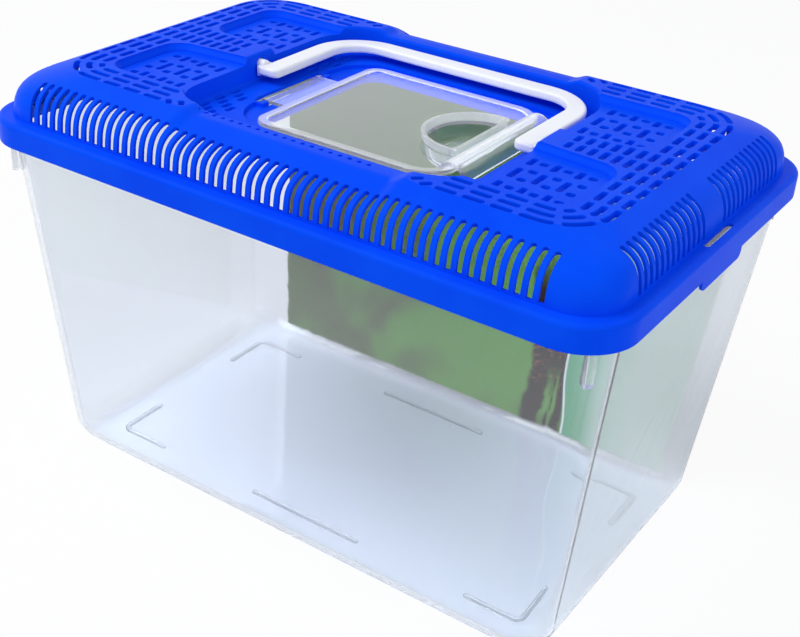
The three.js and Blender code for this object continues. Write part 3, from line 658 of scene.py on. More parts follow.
def tub_fins(bm, tub):
    """Fin under each corner of the flange."""
    x = tub.half_length + tub.end_flange - tub.flange_corner
    y = tub.half_depth + tub.side_flange - tub.flange_corner
    half = tub.fin_width / 2
    fin = box_corners(FIN_REACH / 2, FIN_REACH, -half, half, 0.0, FIN_ROUND)
    for sign_x, sign_y in QUADRANTS:
        turn = Matrix.Rotation(math.atan2(sign_y, sign_x), 4, "Z")
        placing = Matrix.Translation((x * sign_x, y * sign_y, 0)) @ turn
        prism(bm, fin, tub.height - tub.fin_drop, tub.height - tub.wall / 2, placing=placing)


def tub_feet(bm, tub):
    """Ridges under the floor: an angle at each corner and a bar on each long side."""
    x = tub.half_length - tub.end_taper - tub.bottom_round - tub.end_foot
    y = tub.half_depth - tub.side_taper - tub.bottom_round - tub.side_foot
    half, leg = tub.foot_width / 2, tub.foot_leg
    tip = half * FOOT_TIP_SHARE
    top = tub.foot_height + tub.wall / 2
    corners = [
        (x + half, y + half, tub.foot_width * 2), (x + half - leg, y + half, tip),
        (x + half - leg, y - half, tip), (x - half, y - half, tub.foot_width),
        (x - half, y + half - leg, tip), (x + half, y + half - leg, tip),
    ]
    for signs in QUADRANTS:
        prism(bm, flip(corners, signs), 0.0, top)
    reach = tub.foot_middle / 2
    for end in ENDS:
        prism(bm, box_corners(-reach, reach, end * y - half, end * y + half, tip), 0.0, top)
    soften(bm, level_edges(bm, top / 2), FOOT_ROUND)


def painted_fin_highlight(tub, x, y, z):
    """Painted highlight: the thick fins under the flange's corners are made whiter, standing in for the
    light caught in them.
    """
    reach = (tub.half_length + tub.half_depth - FIN_HIGHLIGHT_INSET) / MM
    top = (tub.height - tub.wall) / MM
    return (x.size() + y.size()).step(reach, reach + 0.8) * (1 - z.step(top - 0.3, top)) * 0.25


class TANK_OT_tub(Operator):
    """Make the clear tub with its flange, corner fins and feet"""

    bl_idname = "tank.tub"
    bl_label = "Tub"

    def execute(self, context):
        tub, clear = context.scene.tank_tub, context.scene.tank_colours.clear
        mesh = join(solid(tub_outside, tub, cell=TUB_CELL), solid(tub_fins, tub))
        mesh = cut(mesh, solid(tub_inside, tub, cell=TUB_CELL))
        mesh = join(mesh, solid(tub_feet, tub))
        # The clear plastic gets painted highlights on the fins and where it is seen edge on.
        finish = clear_plastic(
            "clear_tub", clear, painted_highlight_at=lambda *axes: painted_fin_highlight(tub, *axes), **TUB_FINISH
        )
        finish_piece("clear_tub", mesh, "tub", finish)
        return {"FINISHED"}


class TANK_OT_card(Operator):
    """Print the card that stands inside the back wall"""

    bl_idname = "tank.card"
    bl_label = "Printed card"

    def execute(self, context):
        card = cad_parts["label_card"]
        card.data.materials.clear()
        card.data.materials.append(printed_card(context.scene.tank_colours))
        return {"FINISHED"}


# Lid

SKIRT_EDGE = 1.8 * MM
EDGE_STEPS = 6
DOME_CURVE = ((0, 0), (0.03, 0.74), (0.3, 0.74), (1, 1))
DOME_STEPS = 16
UNDER_STEPS = 12
THICKER_FROM = 0.6
BAND_STEPS = 8
BAND_LOW = 7.0 * MM
BAND_HIGH = 14.0 * MM
BASIN_DRAFT = 0.6 * MM
BASIN_ROUND = 1.2 * MM
SEAT = (-46.0 * MM, 51.5 * MM, -37.6 * MM, 42.9 * MM, 17.0 * MM)
RECESS_STEPS = 6
RECESS_SLOPE = 1.6 * MM
RECESS_FAR = 92.7 * MM
RECESS_SIDE = 47.1 * MM
RECESS_NEAR = 55.2 * MM
RECESS_CORNER = 8.0 * MM

# Openings and hinge sockets in the basin's floor, and the handle's holes in its end walls
OPENING = (-33.0 * MM, 49.3 * MM, -33.9 * MM, 33.9 * MM, 7.7 * MM, 2.0 * MM)
TONGUE_SLOT = (-48.2 * MM, -42.0 * MM, -16.9 * MM, 16.9 * MM)
SOCKET_HALF_LENGTH = 3.5 * MM
SOCKET_NEAR = 16.9 * MM
SOCKET_FAR = 20.4 * MM
SOCKET_BOTTOM = 143.4 * MM
SOCKET_TOP = 149.2 * MM
SOCKET_BORE = 1.8 * MM
SOCKET_HALF_MOUTH = 1.35 * MM
SOCKET_REACH = 19.3 * MM
PIVOT_HOLE = 2.1 * MM

# Catches in the middle of the ends
CATCH_INSET = 3.1 * MM
CATCH_SLOT_HALF_LENGTH = 1.1 * MM
CATCH_SLOT_HALF = 10.3 * MM
CATCH_SLOT_CORNER = 0.88 * MM
CATCH_TAB_HALF = 16.0 * MM
CATCH_TAB_DROP = 3.75 * MM
CATCH_TAB_CORNER = 2.5 * MM


def dome_point(lid, at, inward):
    """Distance in from the dome's foot and height above the ledge, on its side profile."""
    across = 1 - at
    weights = (across ** 3, 3 * across ** 2 * at, 3 * across * at ** 2, at ** 3)
    slopes = (-3 * across ** 2, 3 * across ** 2 - 6 * across * at,
              6 * across * at - 3 * at ** 2, 3 * at ** 2)
    point, slope = Vector((0, 0)), Vector((0, 0))
    for (x, z), weight, rate in zip(DOME_CURVE, weights, slopes):
        scaled = Vector((x * lid.dome_inset, z * lid.dome_rise))
        point += scaled * weight
        slope += scaled * rate
    slope.normalize()
    return point + Vector((slope.y, -slope.x)) * inward


def dome_ring(lid, inset, rise, inward):
    at = min(max(inset / lid.dome_inset, 0), 1)
    corner = lid.dome_foot_corner + (lid.dome_top_corner - lid.dome_foot_corner) * at - inward
    return even_corners(*lid.dome_half(inset), corner), lid.ledge_top + rise


def skirt_ring(lid, inward, height):
    return even_corners(lid.half_length, lid.half_depth, lid.corner, -inward), height


def lower_band(bm, lid, low, high):
    """Lowers the middle of the rim, with a soft slope at each end, fully above a height."""
    for end in ENDS:
        for step in range(BAND_STEPS + 1):
            x = end * (lid.band_half_length + lid.band_slope * step / BAND_STEPS)
            bmesh.ops.bisect_plane(
                bm, geom=[*bm.verts, *bm.edges, *bm.faces], plane_co=(x, 0, 0), plane_no=(1, 0, 0)
            )
    for vert in bm.verts:
        along = (abs(vert.co.x) - lid.band_half_length) / lid.band_slope
        fall = (1 + math.cos(math.pi * min(max(along, 0), 1))) / 2
        share = min(max((vert.co.z - low) / (high - low), 0), 1)
        vert.co.z -= lid.band_drop * fall * share


def lid_outside(bm, lid):
    rings = [skirt_ring(lid, 0.0, lid.ledge_top - lid.skirt_height)]
    edge = quarter(SKIRT_EDGE, EDGE_STEPS)
    rings += [skirt_ring(lid, inset, lid.ledge_top - fall) for fall, inset in edge]
    for step in range(DOME_STEPS + 1):
        rings.append(dome_ring(lid, *dome_point(lid, step / DOME_STEPS, 0.0), 0.0))
    stack(bm, rings)
    lower_band(bm, lid, lid.ledge_top + BAND_LOW, lid.ledge_top + BAND_HIGH)


def lid_inside(bm, lid):
    """Hollow of the lid, further in from its top than from its sides."""
    wall = lid.wall
    rings = [
        skirt_ring(lid, wall, lid.ledge_top - lid.skirt_height - OVERRUN),
        skirt_ring(lid, wall, lid.ledge_top - wall),
        dome_ring(lid, wall, -wall, wall),
    ]
    for step in range(2, UNDER_STEPS + 1):
        at = step / UNDER_STEPS
        grown = max(at - THICKER_FROM, 0) / (1 - THICKER_FROM)
        rings.append(dome_ring(lid, *dome_point(lid, at, wall + (lid.top_wall - wall) * grown), wall))
    stack(bm, rings)
    low = lid.ledge_top - lid.top_wall
    lower_band(bm, lid, low + BAND_LOW, low + BAND_HIGH)


def basin_form(bm, lid, grow, floor_grow):
    floor = lid.basin_floor - floor_grow
    rings = [(BASIN_DRAFT + inset, floor + rise) for inset, rise in quarter(BASIN_ROUND)]
    rings += [(-outset, lid.top - fall) for fall, outset in quarter(BASIN_ROUND, 5)]
    rings.append((-BASIN_ROUND, lid.top + OVERRUN))
    stack(bm, [(even_corners(
        lid.basin_half_length, lid.basin_half_depth, lid.basin_corner, grow - inset
    ), height) for inset, height in rings])
    edge_foot = lid.top - BASIN_ROUND
    lower_band(bm, lid, edge_foot - lid.band_drop - OVERRUN, edge_foot)


def seat_form(bm, lid, grow):
    floor = lid.basin_floor - lid.seat_depth - grow
    top = floor + lid.seat_depth + OVERRUN + grow
    prism(bm, box_corners(*SEAT, grow=grow), floor, top, CORNER_STEPS)


def recess_forms(bm, lid, grow):
    """Recesses with sloping sides, open to the basin."""
    floor = lid.top - lid.recess_depth - grow
    rings = []
    for step in range(RECESS_STEPS + 1):
        rise = step / RECESS_STEPS
        inset = RECESS_SLOPE * (1 + math.cos(math.pi * rise)) / 2
        rings.append((inset, floor + lid.recess_depth * rise))
    rings.append((0.0, lid.top + OVERRUN))
    near, far, side = RECESS_NEAR - grow, RECESS_FAR + grow, RECESS_SIDE + grow
    for signs in QUADRANTS:
        stack(bm, [(flip([
            (far - inset, side - inset, RECESS_CORNER + grow - inset),
            (near, side - inset, 0.0),
            (near, lid.ridge_near - grow + inset, 0.0),
            (far - inset, lid.ridge_far - grow + inset, RECESS_CORNER + grow - inset),
        ], signs), height) for inset, height in rings])


def pivot_bar(bm, handle, radius, near, far):
    """Round bar along the handle's pivots, from one place along the tank to another."""
    pin(bm, radius, (near, 0, handle.pivot_height), (far, 0, handle.pivot_height))


def lid_openings(bm, lid, handle):
    low = lid.basin_floor - lid.seat_depth - lid.top_wall - OVERRUN
    for opening in (OPENING, TONGUE_SLOT):
        prism(bm, box_corners(*opening), low, lid.basin_floor + OVERRUN)
    half = CATCH_SLOT_HALF_LENGTH
    for end in ENDS:
        middle = end * (lid.half_length - CATCH_INSET)
        slot = box_corners(
            middle - half, middle + half, -CATCH_SLOT_HALF, CATCH_SLOT_HALF, CATCH_SLOT_CORNER
        )
        prism(bm, slot, lid.ledge_top - lid.wall - OVERRUN, lid.ledge_top + OVERRUN)
        near, far = lid.basin_half_length - OVERRUN, handle.pin_end + OVERRUN
        pivot_bar(bm, handle, PIVOT_HOLE, end * near, end * far)


def hinge_bar(bm, hatch, radius, reach):
    """Round bar along the hatch's hinge."""
    x, z = -hatch.hinge_x, hatch.hinge_height
    pin(bm, radius, (x, -reach, z), (x, reach, z))


def hinge_box(bm, hatch, half, front, back, bottom, top):
    prism(bm, box_corners(-hatch.hinge_x - half, -hatch.hinge_x + half, front, back), bottom, top)


def socket_blocks(bm, hatch):
    for end in ENDS:
        front, back = sorted((end * SOCKET_NEAR, end * SOCKET_FAR))
        hinge_box(bm, hatch, SOCKET_HALF_LENGTH, front, back, SOCKET_BOTTOM, SOCKET_TOP)


def catch_tabs(bm, lid):
    skirt_bottom = lid.ledge_top - lid.skirt_height
    top, bottom = skirt_bottom + lid.skirt_height / 2, skirt_bottom - CATCH_TAB_DROP
    corners = [
        (CATCH_TAB_HALF, top, 0.0), (-CATCH_TAB_HALF, top, 0.0),
        (-CATCH_TAB_HALF, bottom, CATCH_TAB_CORNER), (CATCH_TAB_HALF, bottom, CATCH_TAB_CORNER),
    ]
    upright = Matrix.Rotation(math.pi / 2, 4, "Z") @ Matrix.Rotation(math.pi / 2, 4, "X")
    for end in ENDS:
        inner, outer = sorted((end * (lid.half_length - lid.wall), end * lid.half_length))
        prism(bm, corners, inner, outer, EDGE_STEPS, upright)


# Slots

SLOT_CORNER = 0.85 * MM
SLOT_RIM = 0.35 * MM
UPRIGHT_FOOT = 0.8 * MM
UPRIGHT_TOLERANCE = 0.1 * MM
UPRIGHT_ROUND_SHARE = 0.92
UPRIGHT_MARGIN = 19.0 * MM
END_SLOT_START = 8.3 * MM
ROW_INSET = 0.6 * MM
ROW_END_INSET = 1.3 * MM
ROW_CORNER = 17.0 * MM
ROW_BAND_MARGIN = 9.1 * MM
ROW_CORNER_WEBS = (0.27, 0.73)
ROW_BEND_STEPS = 6
RIDGE_SLOT_INSET = 13.8 * MM
RIDGE_SLOT_PITCH = 4.35 * MM
RIDGE_SLOT_COUNT = 6
RIDGE_HALF_WEB = 0.85 * MM
RIDGE_SLOT_MARGIN = 1.5 * MM
RECESS_SLOT_MARGIN = 4.2 * MM
RECESS_SLOT_PITCH = 4.25 * MM
RECESS_SLOT_COUNT = 6
RECESS_ROW_MARGIN = 4.6 * MM
SHORT_SLOT_WIDTH = 2.8 * MM
LONG_SHARES = ((0, 0.21), (0.35, 0.65), (0.8, 1))
SHORT_SHARES = ((0.05, 0.14), (0.32, 0.41), (0.59, 0.68), (0.86, 0.95))
BASIN_COUNTS = {1: (3, 3), -1: (3, 3, 3, 2)}
BASIN_SLOT_MARGIN = 2.3 * MM
BASIN_SLOT_PITCH = 3.3 * MM
BASIN_SLOT_LENGTH = 4.8 * MM
BASIN_SIDE_MARGIN = 19.3 * MM
BASIN_ROW_PITCH = 8.7 * MM
BASIN_STAGGER = 2.0 * MM
SLANT_PLACES = ((51.2 * MM, 59.3 * MM), (47.1 * MM, 57.6 * MM))
SLANT_LENGTH = 4.0 * MM
SLANT_DEPTH_SHARE = 1.3
SLANT = Matrix.Rotation(math.radians(-45), 2)
PIT_Y = -55.6 * MM
PIT_START = -41.6 * MM
PIT_COUNT = 20
PIT_PITCH = 3.67 * MM
PIT_RADIUS = 0.85 * MM
PIT_STEPS = 10
PIT_DEPTH = 0.7 * MM


def upright_cutter(bm, lid, slots, base, sign, middle, along_depth):
    """Cutter for one slot in the dome's side, with a rounded upper end."""
    outer = dome_point(lid, slots.upright_top, -OVERRUN)
    inner = dome_point(lid, slots.upright_top, 2 * OVERRUN)
    profile = ((-OVERRUN, UPRIGHT_FOOT), (inner.x, UPRIGHT_FOOT), inner, outer, (-OVERRUN, outer.y))
    half = slots.upright_width / 2
    made = side_cut(bm, [(sign * (base - x), lid.ledge_top + z) for x, z in profile],
                    middle - half, middle + half, along_depth)
    low = lid.ledge_top + UPRIGHT_FOOT + UPRIGHT_TOLERANCE
    top = [e for e in {e for v in made for e in v.link_edges}
           if all(v.co.z > low for v in e.verts)
           and abs(e.verts[0].co.z - e.verts[1].co.z) > UPRIGHT_TOLERANCE
           and half < e.calc_length() < 4 * OVERRUN]
    soften(bm, top, half * UPRIGHT_ROUND_SHARE, 4)


def upright_slots(bm, lid, slots):
    """An unbroken row along each long side and two groups at each end."""
    base_length, base_depth = lid.dome_half(0.0)
    pitch = slots.upright_pitch
    for place in range(int((base_length - UPRIGHT_MARGIN) / pitch + 0.5)):
        for sign_x, sign_y in QUADRANTS:
            middle = sign_x * (place + 0.5) * pitch
            upright_cutter(bm, lid, slots, base_depth, sign_y, middle, False)
    for place in range(int((base_depth - UPRIGHT_MARGIN - END_SLOT_START) / pitch) + 1):
        for sign_x, sign_y in QUADRANTS:
            middle = sign_y * (END_SLOT_START + place * pitch)
            upright_cutter(bm, lid, slots, base_length, sign_x, middle, True)


def level_cutters(bm, shape, surface, quadrants=QUADRANTS, depth=3 * OVERRUN):
    """Cutters for a slot in a level surface, wider where it meets the surface."""
    rings = ((0.0, -depth), (0.0, -SLOT_RIM), (SLOT_RIM * 0.3, -SLOT_RIM * 0.3), (SLOT_RIM, 0.0),
             (SLOT_RIM, OVERRUN))
    for signs in quadrants:
        stack(bm, [(flip(shape(grow), signs), surface + rise) for grow, rise in rings],
              SMALL_CORNER_STEPS)


def box_slots(bm, x, y, length, depth, surface, quadrants=QUADRANTS):
    box = (x - length / 2, x + length / 2, y - depth / 2, y + depth / 2, SLOT_CORNER)
    level_cutters(bm, lambda grow: box_corners(*box, grow=grow), surface, quadrants)


class RowPath:
    """A quarter of a row: from the middle of an end, round its corner and along a side."""

    def __init__(self, lid, slots, row):
        pitch = slots.row_slot_pitch
        flat_length, flat_depth = lid.dome_half(lid.dome_inset)
        self.radius = ROW_CORNER - row * slots.row_pitch
        self.x = flat_length - ROW_INSET - ROW_CORNER
        self.y = flat_depth - ROW_END_INSET - ROW_CORNER
        arc = self.radius * math.pi / 2
        self.end = self.y + arc
        run = self.x - (lid.band_half_length + lid.band_slope + ROW_BAND_MARGIN)
        self.webs = [place * pitch for place in range(int(self.y / pitch) + 1)]
        self.webs += [self.y + arc * at for at in ROW_CORNER_WEBS]
        self.webs += [self.end + run - place * pitch for place in range(int(run / pitch), -1, -1)]

    def corner(self, distance, offset, radius=0.0):
        """Corner at a distance along the path and an offset from it."""
        bend = min(max((distance - self.y) / self.radius, 0), math.pi / 2)
        reach = self.radius + offset
        x = self.x - max(distance - self.end, 0) + math.cos(bend) * reach
        return x, min(distance, self.y) + math.sin(bend) * reach, radius

    def slot(self, start, end, half, grow):
        """Corners of one slot, with more of them where it goes round the corner."""
        low, high = max(start, self.y), min(end, self.end)
        margin = 1.5 * SLOT_CORNER
        between = []
        if high > low:
            places = (low + (high - low) * at / ROW_BEND_STEPS for at in range(ROW_BEND_STEPS + 1))
            between = [d for d in places if start + margin < d < end - margin]
        start, end, half, radius = start - grow, end + grow, half + grow, SLOT_CORNER + grow
        return [
            self.corner(start, half, radius),
            *(self.corner(d, half) for d in between),
            self.corner(end, half, radius),
            self.corner(end, -half, radius),
            *(self.corner(d, -half) for d in reversed(between)),
            self.corner(start, -half, radius),
        ]


def row_slots(bm, lid, slots):
    half, web = slots.level_width / 2, slots.row_web / 2
    for row in range(slots.row_count):
        path = RowPath(lid, slots, row)
        for start, end in zip(path.webs, path.webs[1:]):
            level_cutters(bm, lambda grow: path.slot(start + web, end - web, half, grow), lid.top)


def ridge_slots(bm, lid, slots):
    for column in range(RIDGE_SLOT_COUNT):
        x = lid.dome_half(lid.dome_inset)[0] - RIDGE_SLOT_INSET - column * RIDGE_SLOT_PITCH
        at = (x - lid.basin_half_length) / (RECESS_FAR - lid.basin_half_length)
        far = lid.ridge_near + (lid.ridge_far - lid.ridge_near) * at - RIDGE_SLOT_MARGIN
        middle, length = (RIDGE_HALF_WEB + far) / 2, far - RIDGE_HALF_WEB
        box_slots(bm, x, middle, slots.level_width, length, lid.top)


def recess_slots(bm, lid, slots):
    """Long and short slots in turn in each recess."""
    start = lid.ridge_far + RECESS_ROW_MARGIN
    run = RECESS_SIDE - RECESS_ROW_MARGIN - start
    kinds = ((LONG_SHARES, slots.level_width), (SHORT_SHARES, SHORT_SLOT_WIDTH))
    for column in range(RECESS_SLOT_COUNT):
        x = lid.basin_half_length + RECESS_SLOT_MARGIN + column * RECESS_SLOT_PITCH
        shares, width = kinds[column % 2]
        for first, last in shares:
            y = start + run * (first + last) / 2
            box_slots(bm, x, y, width, run * (last - first), lid.top - lid.recess_depth)


def basin_slots(bm, lid, slots):
    for signs in QUADRANTS:
        for column, count in enumerate(BASIN_COUNTS[signs[0]]):
            x = lid.basin_half_length - BASIN_SLOT_MARGIN - column * BASIN_SLOT_PITCH
            far = lid.basin_half_depth - BASIN_SIDE_MARGIN + column * BASIN_STAGGER
            for row in range(count):
                box_slots(bm, x, far - row * BASIN_ROW_PITCH, slots.level_width,
                          BASIN_SLOT_LENGTH, lid.basin_floor, [signs])


def slant_slots(bm, lid, slots):
    """Two slots across each end of the low band."""
    half_x, half_y = SLANT_LENGTH / 2, slots.level_width / 2
    for middle in SLANT_PLACES:
        def shape(grow):
            corners = even_corners(half_x, half_y, SLOT_CORNER, grow)
            return [(*(SLANT @ Vector((x, y)) + Vector(middle)), radius) for x, y, radius in corners]

        level_cutters(bm, shape, lid.top, depth=SLANT_DEPTH_SHARE * lid.top_wall)


def top_slots(bm, lid, slots):
    """All the slots in level surfaces, and a row of small pits along the front rim."""
    for maker in (row_slots, ridge_slots, recess_slots, basin_slots, slant_slots):
        maker(bm, lid, slots)
    floor = lid.top - lid.band_drop
    for place in range(PIT_COUNT):
        x = PIT_START + place * PIT_PITCH
        pin(bm, PIT_RADIUS, (x, PIT_Y, floor - PIT_DEPTH), (x, PIT_Y, floor + PIT_DEPTH), PIT_STEPS)


class TANK_OT_lid(Operator):
    """Make the blue lid with its dome, basin, recesses and slots"""

    bl_idname = "tank.lid"
    bl_label = "Lid"

    def execute(self, context):
        scene = context.scene
        lid, slots, hatch = scene.tank_lid, scene.tank_slots, scene.tank_hatch

        def carved(start, wall, top_wall):
            return cut(
                solid(start, lid, cell=LID_CELL),
                solid(basin_form, lid, wall, top_wall, cell=LID_CELL),
                solid(seat_form, lid, top_wall, cell=LID_CELL),
                solid(recess_forms, lid, top_wall, cell=LID_CELL),
            )

        hollow = carved(lid_inside, lid.wall, lid.top_wall)
        mesh = carved(lid_outside, 0.0, 0.0)
        mesh = cut(mesh, hollow, solid(lid_openings, lid, scene.tank_handle))
        mesh = join(mesh, solid(socket_blocks, hatch), solid(catch_tabs, lid))
        mesh = cut(
            mesh,
            solid(hinge_bar, hatch, SOCKET_BORE, SOCKET_REACH),
            solid(hinge_box, hatch, SOCKET_HALF_MOUTH, -SOCKET_REACH, SOCKET_REACH,
                  hatch.hinge_height, SOCKET_TOP + OVERRUN),
            solid(upright_slots, lid, slots),
            solid(top_slots, lid, slots),
        )
        colours = scene.tank_colours
        finish = moulded_plastic(
            "blue_lid", colours.lid, colours.lid_deep, colours.lid_sheen, gloss=0.025, roughness=0.33
        )
        finish_piece("blue_lid", mesh, "lid", finish)
        return {"FINISHED"}


# Hatch

HATCH_LEFT_CORNER = 6.5 * MM
HATCH_RIGHT_CORNER = 12.0 * MM
BEAD_EDGE = 0.7 * MM
POCKET_MARGIN = 4.5 * MM
POCKET_MIDDLE = 0.8 * MM
POCKET_LEFT_CORNER = 18.9 * MM
POCKET_RIGHT_CORNER = 3.0 * MM
POCKET_TAPER = 2.0 * MM
POCKET_TURN = 2.0 * MM
POCKET_STEPS = 8
LIP_REACH = 6.0 * MM
LIP_END_MARGIN = 8.2 * MM
LIP_SWEEP = 0.83
LIP_STEPS = 16
HINGE_REACH = 2.7 * MM
HATCH_FINISH = {"roughness": 0.015, "wave": 0.1, "haze": 0.02}


def hatch_plate(bm, hatch):
    """Panel with a rounded bead all round, as one stack of rings."""
    bottom = hatch.underside
    top, inner = bottom + hatch.bead_height, -hatch.bead_width
    bead = quarter(BEAD_EDGE)
    rings = [(-BEAD_EDGE / 2, bottom), (0.0, bottom + BEAD_EDGE / 2)]
    rings += [(-inset, top - fall) for fall, inset in bead]
    rings += [(inner + inset, top - fall) for fall, inset in reversed(bead)]
    rings.append((inner, bottom + hatch.thickness))
    reach = hatch.half_depth
    stack(bm, [(box_corners(
        -hatch.left, hatch.right, hatch.middle - reach, hatch.middle + reach,
        HATCH_LEFT_CORNER, HATCH_RIGHT_CORNER, grow,
    ), height) for grow, height in rings])


def pocket_corners(hatch, grow):
    right = hatch.right - POCKET_MARGIN
    half = hatch.pocket_half_width + grow
    return box_corners(
        right - hatch.pocket_length - grow, right + grow, POCKET_MIDDLE - half, POCKET_MIDDLE + half,
        POCKET_LEFT_CORNER + grow, POCKET_RIGHT_CORNER,
    )


def pocket_stack(bm, hatch, inward, top):
    """Tapered cup of the finger pocket, with a rounded turn at its floor."""
    floor = hatch.rim - hatch.pocket_depth + inward
    rings = [(-POCKET_TAPER - inward - inset, floor + rise) for inset, rise in quarter(POCKET_TURN)]
    rings.append((-inward, hatch.rim))
    rings += [(-inward, top)] if top > hatch.rim else []
    stack(bm, [(pocket_corners(hatch, grow), height) for grow, height in rings], POCKET_STEPS)


def hatch_lip(bm, hatch):
    """Curled lip along the free end, as a bent strip."""
    middle = Vector((hatch.right + LIP_REACH - hatch.lip_radius,
                     hatch.underside - hatch.lip_thickness))
    bends = [math.pi * LIP_SWEEP * step / LIP_STEPS for step in range(LIP_STEPS + 1)]
    inner = hatch.lip_radius - hatch.lip_thickness
    profile = [
        (middle.x + math.cos(bend) * radius, middle.y + math.sin(bend) * radius)
        for radius, run in ((hatch.lip_radius, bends), (inner, bends[::-1])) for bend in run
    ]
    reach = hatch.half_depth - LIP_END_MARGIN
    side_cut(bm, profile, hatch.middle - reach, hatch.middle + reach, True)


def hatch_tongue(bm, hatch):
    reach = hatch.tongue_half_width
    prism(bm, box_corners(-hatch.hinge_x, -hatch.left + hatch.bead_width, -reach, reach),
          hatch.underside, hatch.underside + hatch.thickness)


def painted_bead_highlight(hatch, x, y, z):
    """Painted highlight: the bead and the pocket's rim are made whiter, and the lip less so, standing in
    for light piped along their edges.
    """
    panel = (hatch.underside + hatch.thickness) / MM + 0.15
    end = hatch.right / MM
    return z.step(panel, panel + 0.4) * (0.24 - x.step(end, end + 1.0) * 0.17)


class TANK_OT_hatch(Operator):
    """Make the clear hatch with its bead, finger pocket, lip and hinge tongue"""

    bl_idname = "tank.hatch"
    bl_label = "Hatch"

    def execute(self, context):
        hatch, clear = context.scene.tank_hatch, context.scene.tank_colours.clear_hatch
        mesh = join(
            solid(hatch_plate, hatch, cell=HATCH_CELL),
            solid(pocket_stack, hatch, 0.0, hatch.rim),
            solid(hatch_lip, hatch),
            solid(hatch_tongue, hatch),
            solid(hinge_bar, hatch, hatch.hinge_radius, hatch.tongue_half_width + HINGE_REACH),
        )
        mesh = cut(mesh, solid(pocket_stack, hatch, hatch.pocket_wall, hatch.rim + OVERRUN))
        # The clear plastic gets painted highlights on the bead, the pocket's rim and the lip, and where
        # it is seen edge on.
        finish = clear_plastic(
            "clear_hatch", clear, painted_highlight_at=lambda *axes: painted_bead_highlight(hatch, *axes), **HATCH_FINISH
        )
        finish_piece("clear_hatch", mesh, "hatch", finish)
        return {"FINISHED"}


# Handle

PIVOT_HALF_WIDTH = 3.5 * MM
PLATE_THICKNESS = 1.2 * MM
PLATE_HALF_WIDTH = 3.2 * MM
PLATE_DROP = 0.6 * MM
PLATE_CORNER = 0.4 * MM
BLOCK_CORNER = 0.6 * MM
BLOCK_EDGE = 0.5 * MM
HEEL_CORNER = 3.0 * MM
HANDLE_STEPS = 20
DEEP_SHARE = 0.96


def handle_bar(bm, handle):
    outer, inner = handle.arm_outer, handle.arm_outer - handle.arm_width
    far, near = handle.grip_outer, handle.grip_outer - handle.grip_width
    heel = -handle.heel
    corners = [
        (outer, heel, 0.0), (outer, far, handle.outer_corner),
        (-outer, far, handle.outer_corner), (-outer, heel, 0.0),
        (-inner, heel, HEEL_CORNER), (-inner, near, handle.inner_corner),
        (inner, near, handle.inner_corner), (inner, heel, HEEL_CORNER),
    ]
    prism(bm, corners, handle.bottom, handle.bottom + handle.thickness, HANDLE_STEPS)
    soften(bm, level_edges(bm), handle.edge_round, 5)


def pivot_block(bm, handle, end, near, half, radius, bottom, top, edge):
    """Block from a place along the tank to the face of the pivot."""
    inner, outer = sorted((end * near, end * handle.block_end))
    prism(bm, box_corners(inner, outer, -half, half, radius),
          handle.bottom + bottom, handle.bottom + top)
    soften(bm, level_edges(bm), edge)


class TANK_OT_handle(Operator):
    """Make the white folding handle with its pivots"""

    bl_idname = "tank.handle"
    bl_label = "Handle"

    def execute(self, context):
        handle, colours = context.scene.tank_handle, context.scene.tank_colours
        thickness = handle.thickness
        block = (handle.arm_outer - handle.arm_width / 2, PIVOT_HALF_WIDTH, BLOCK_CORNER,
                 0.0, thickness - handle.edge_round / 4, BLOCK_EDGE)
        plate = (handle.block_end - PLATE_THICKNESS, PLATE_HALF_WIDTH, PLATE_CORNER,
                 -PLATE_DROP, thickness / 2, BLOCK_EDGE / 2)
        mesh = solid(handle_bar, handle)
        for end in ENDS:
            mesh = join(
                mesh, solid(pivot_block, handle, end, *block), solid(pivot_block, handle, end, *plate),
                solid(pivot_bar, handle, handle.pin_radius, end * handle.arm_outer, end * handle.pin_end),
            )
        deep = [channel * DEEP_SHARE for channel in colours.handle]
        finish = moulded_plastic(
            "white_handle", colours.handle, deep, colours.handle_sheen, gloss=0.4, roughness=0.34
        )
        finish_piece("white_handle", mesh, "handle", finish)
        return {"FINISHED"}


# Stage

FLOOR_RADIUS = 6.0
SENSOR_WIDTH = 36.0
LAMPS = {
    "key": ((-0.55, -0.45, 0.95), (0.7, 0.7), (1.0, 0.99, 0.97)),
    "fill": ((0.75, -0.25, 0.55), (0.5, 0.6), (0.97, 0.98, 1.0)),
}


def show(name, data):
    item = bpy.data.objects.new(name, data)
    bpy.context.scene.collection.objects.link(item)
    return item


def lamp(name, target, power):
    place, sides, tint = LAMPS[name]
    data = bpy.data.lights.new(name, "AREA")
    data.shape = "RECTANGLE"
    data.size, data.size_y = sides
    data.energy = power
    data.color = tint
    item = show(name, data)
    item.location = place
    item.rotation_euler = (Vector(target) - Vector(place)).to_track_quat("-Z", "Y").to_euler()


def floor_surface():
    """Pale floor that stays nearly white to the camera and keeps the tank's shadow."""
    shader = material("stage_floor")
    grain = shader.noise(shader.place(), 0.02, detail=2.0)
    pale = shader.mix(grain, (0.86, 0.87, 0.88), (0.89, 0.9, 0.91))
    matt = shader.node(
        "BsdfPrincipled", {"Base Color": pale, "Roughness": 1.0, "Specular IOR Level": 0.0}
    )
    white = shader.node("Emission", {"Color": WHITE, "Strength": 1.0})
    return shader.surface(shader.blend(shader.ray("Camera") * 0.9, matt, white))


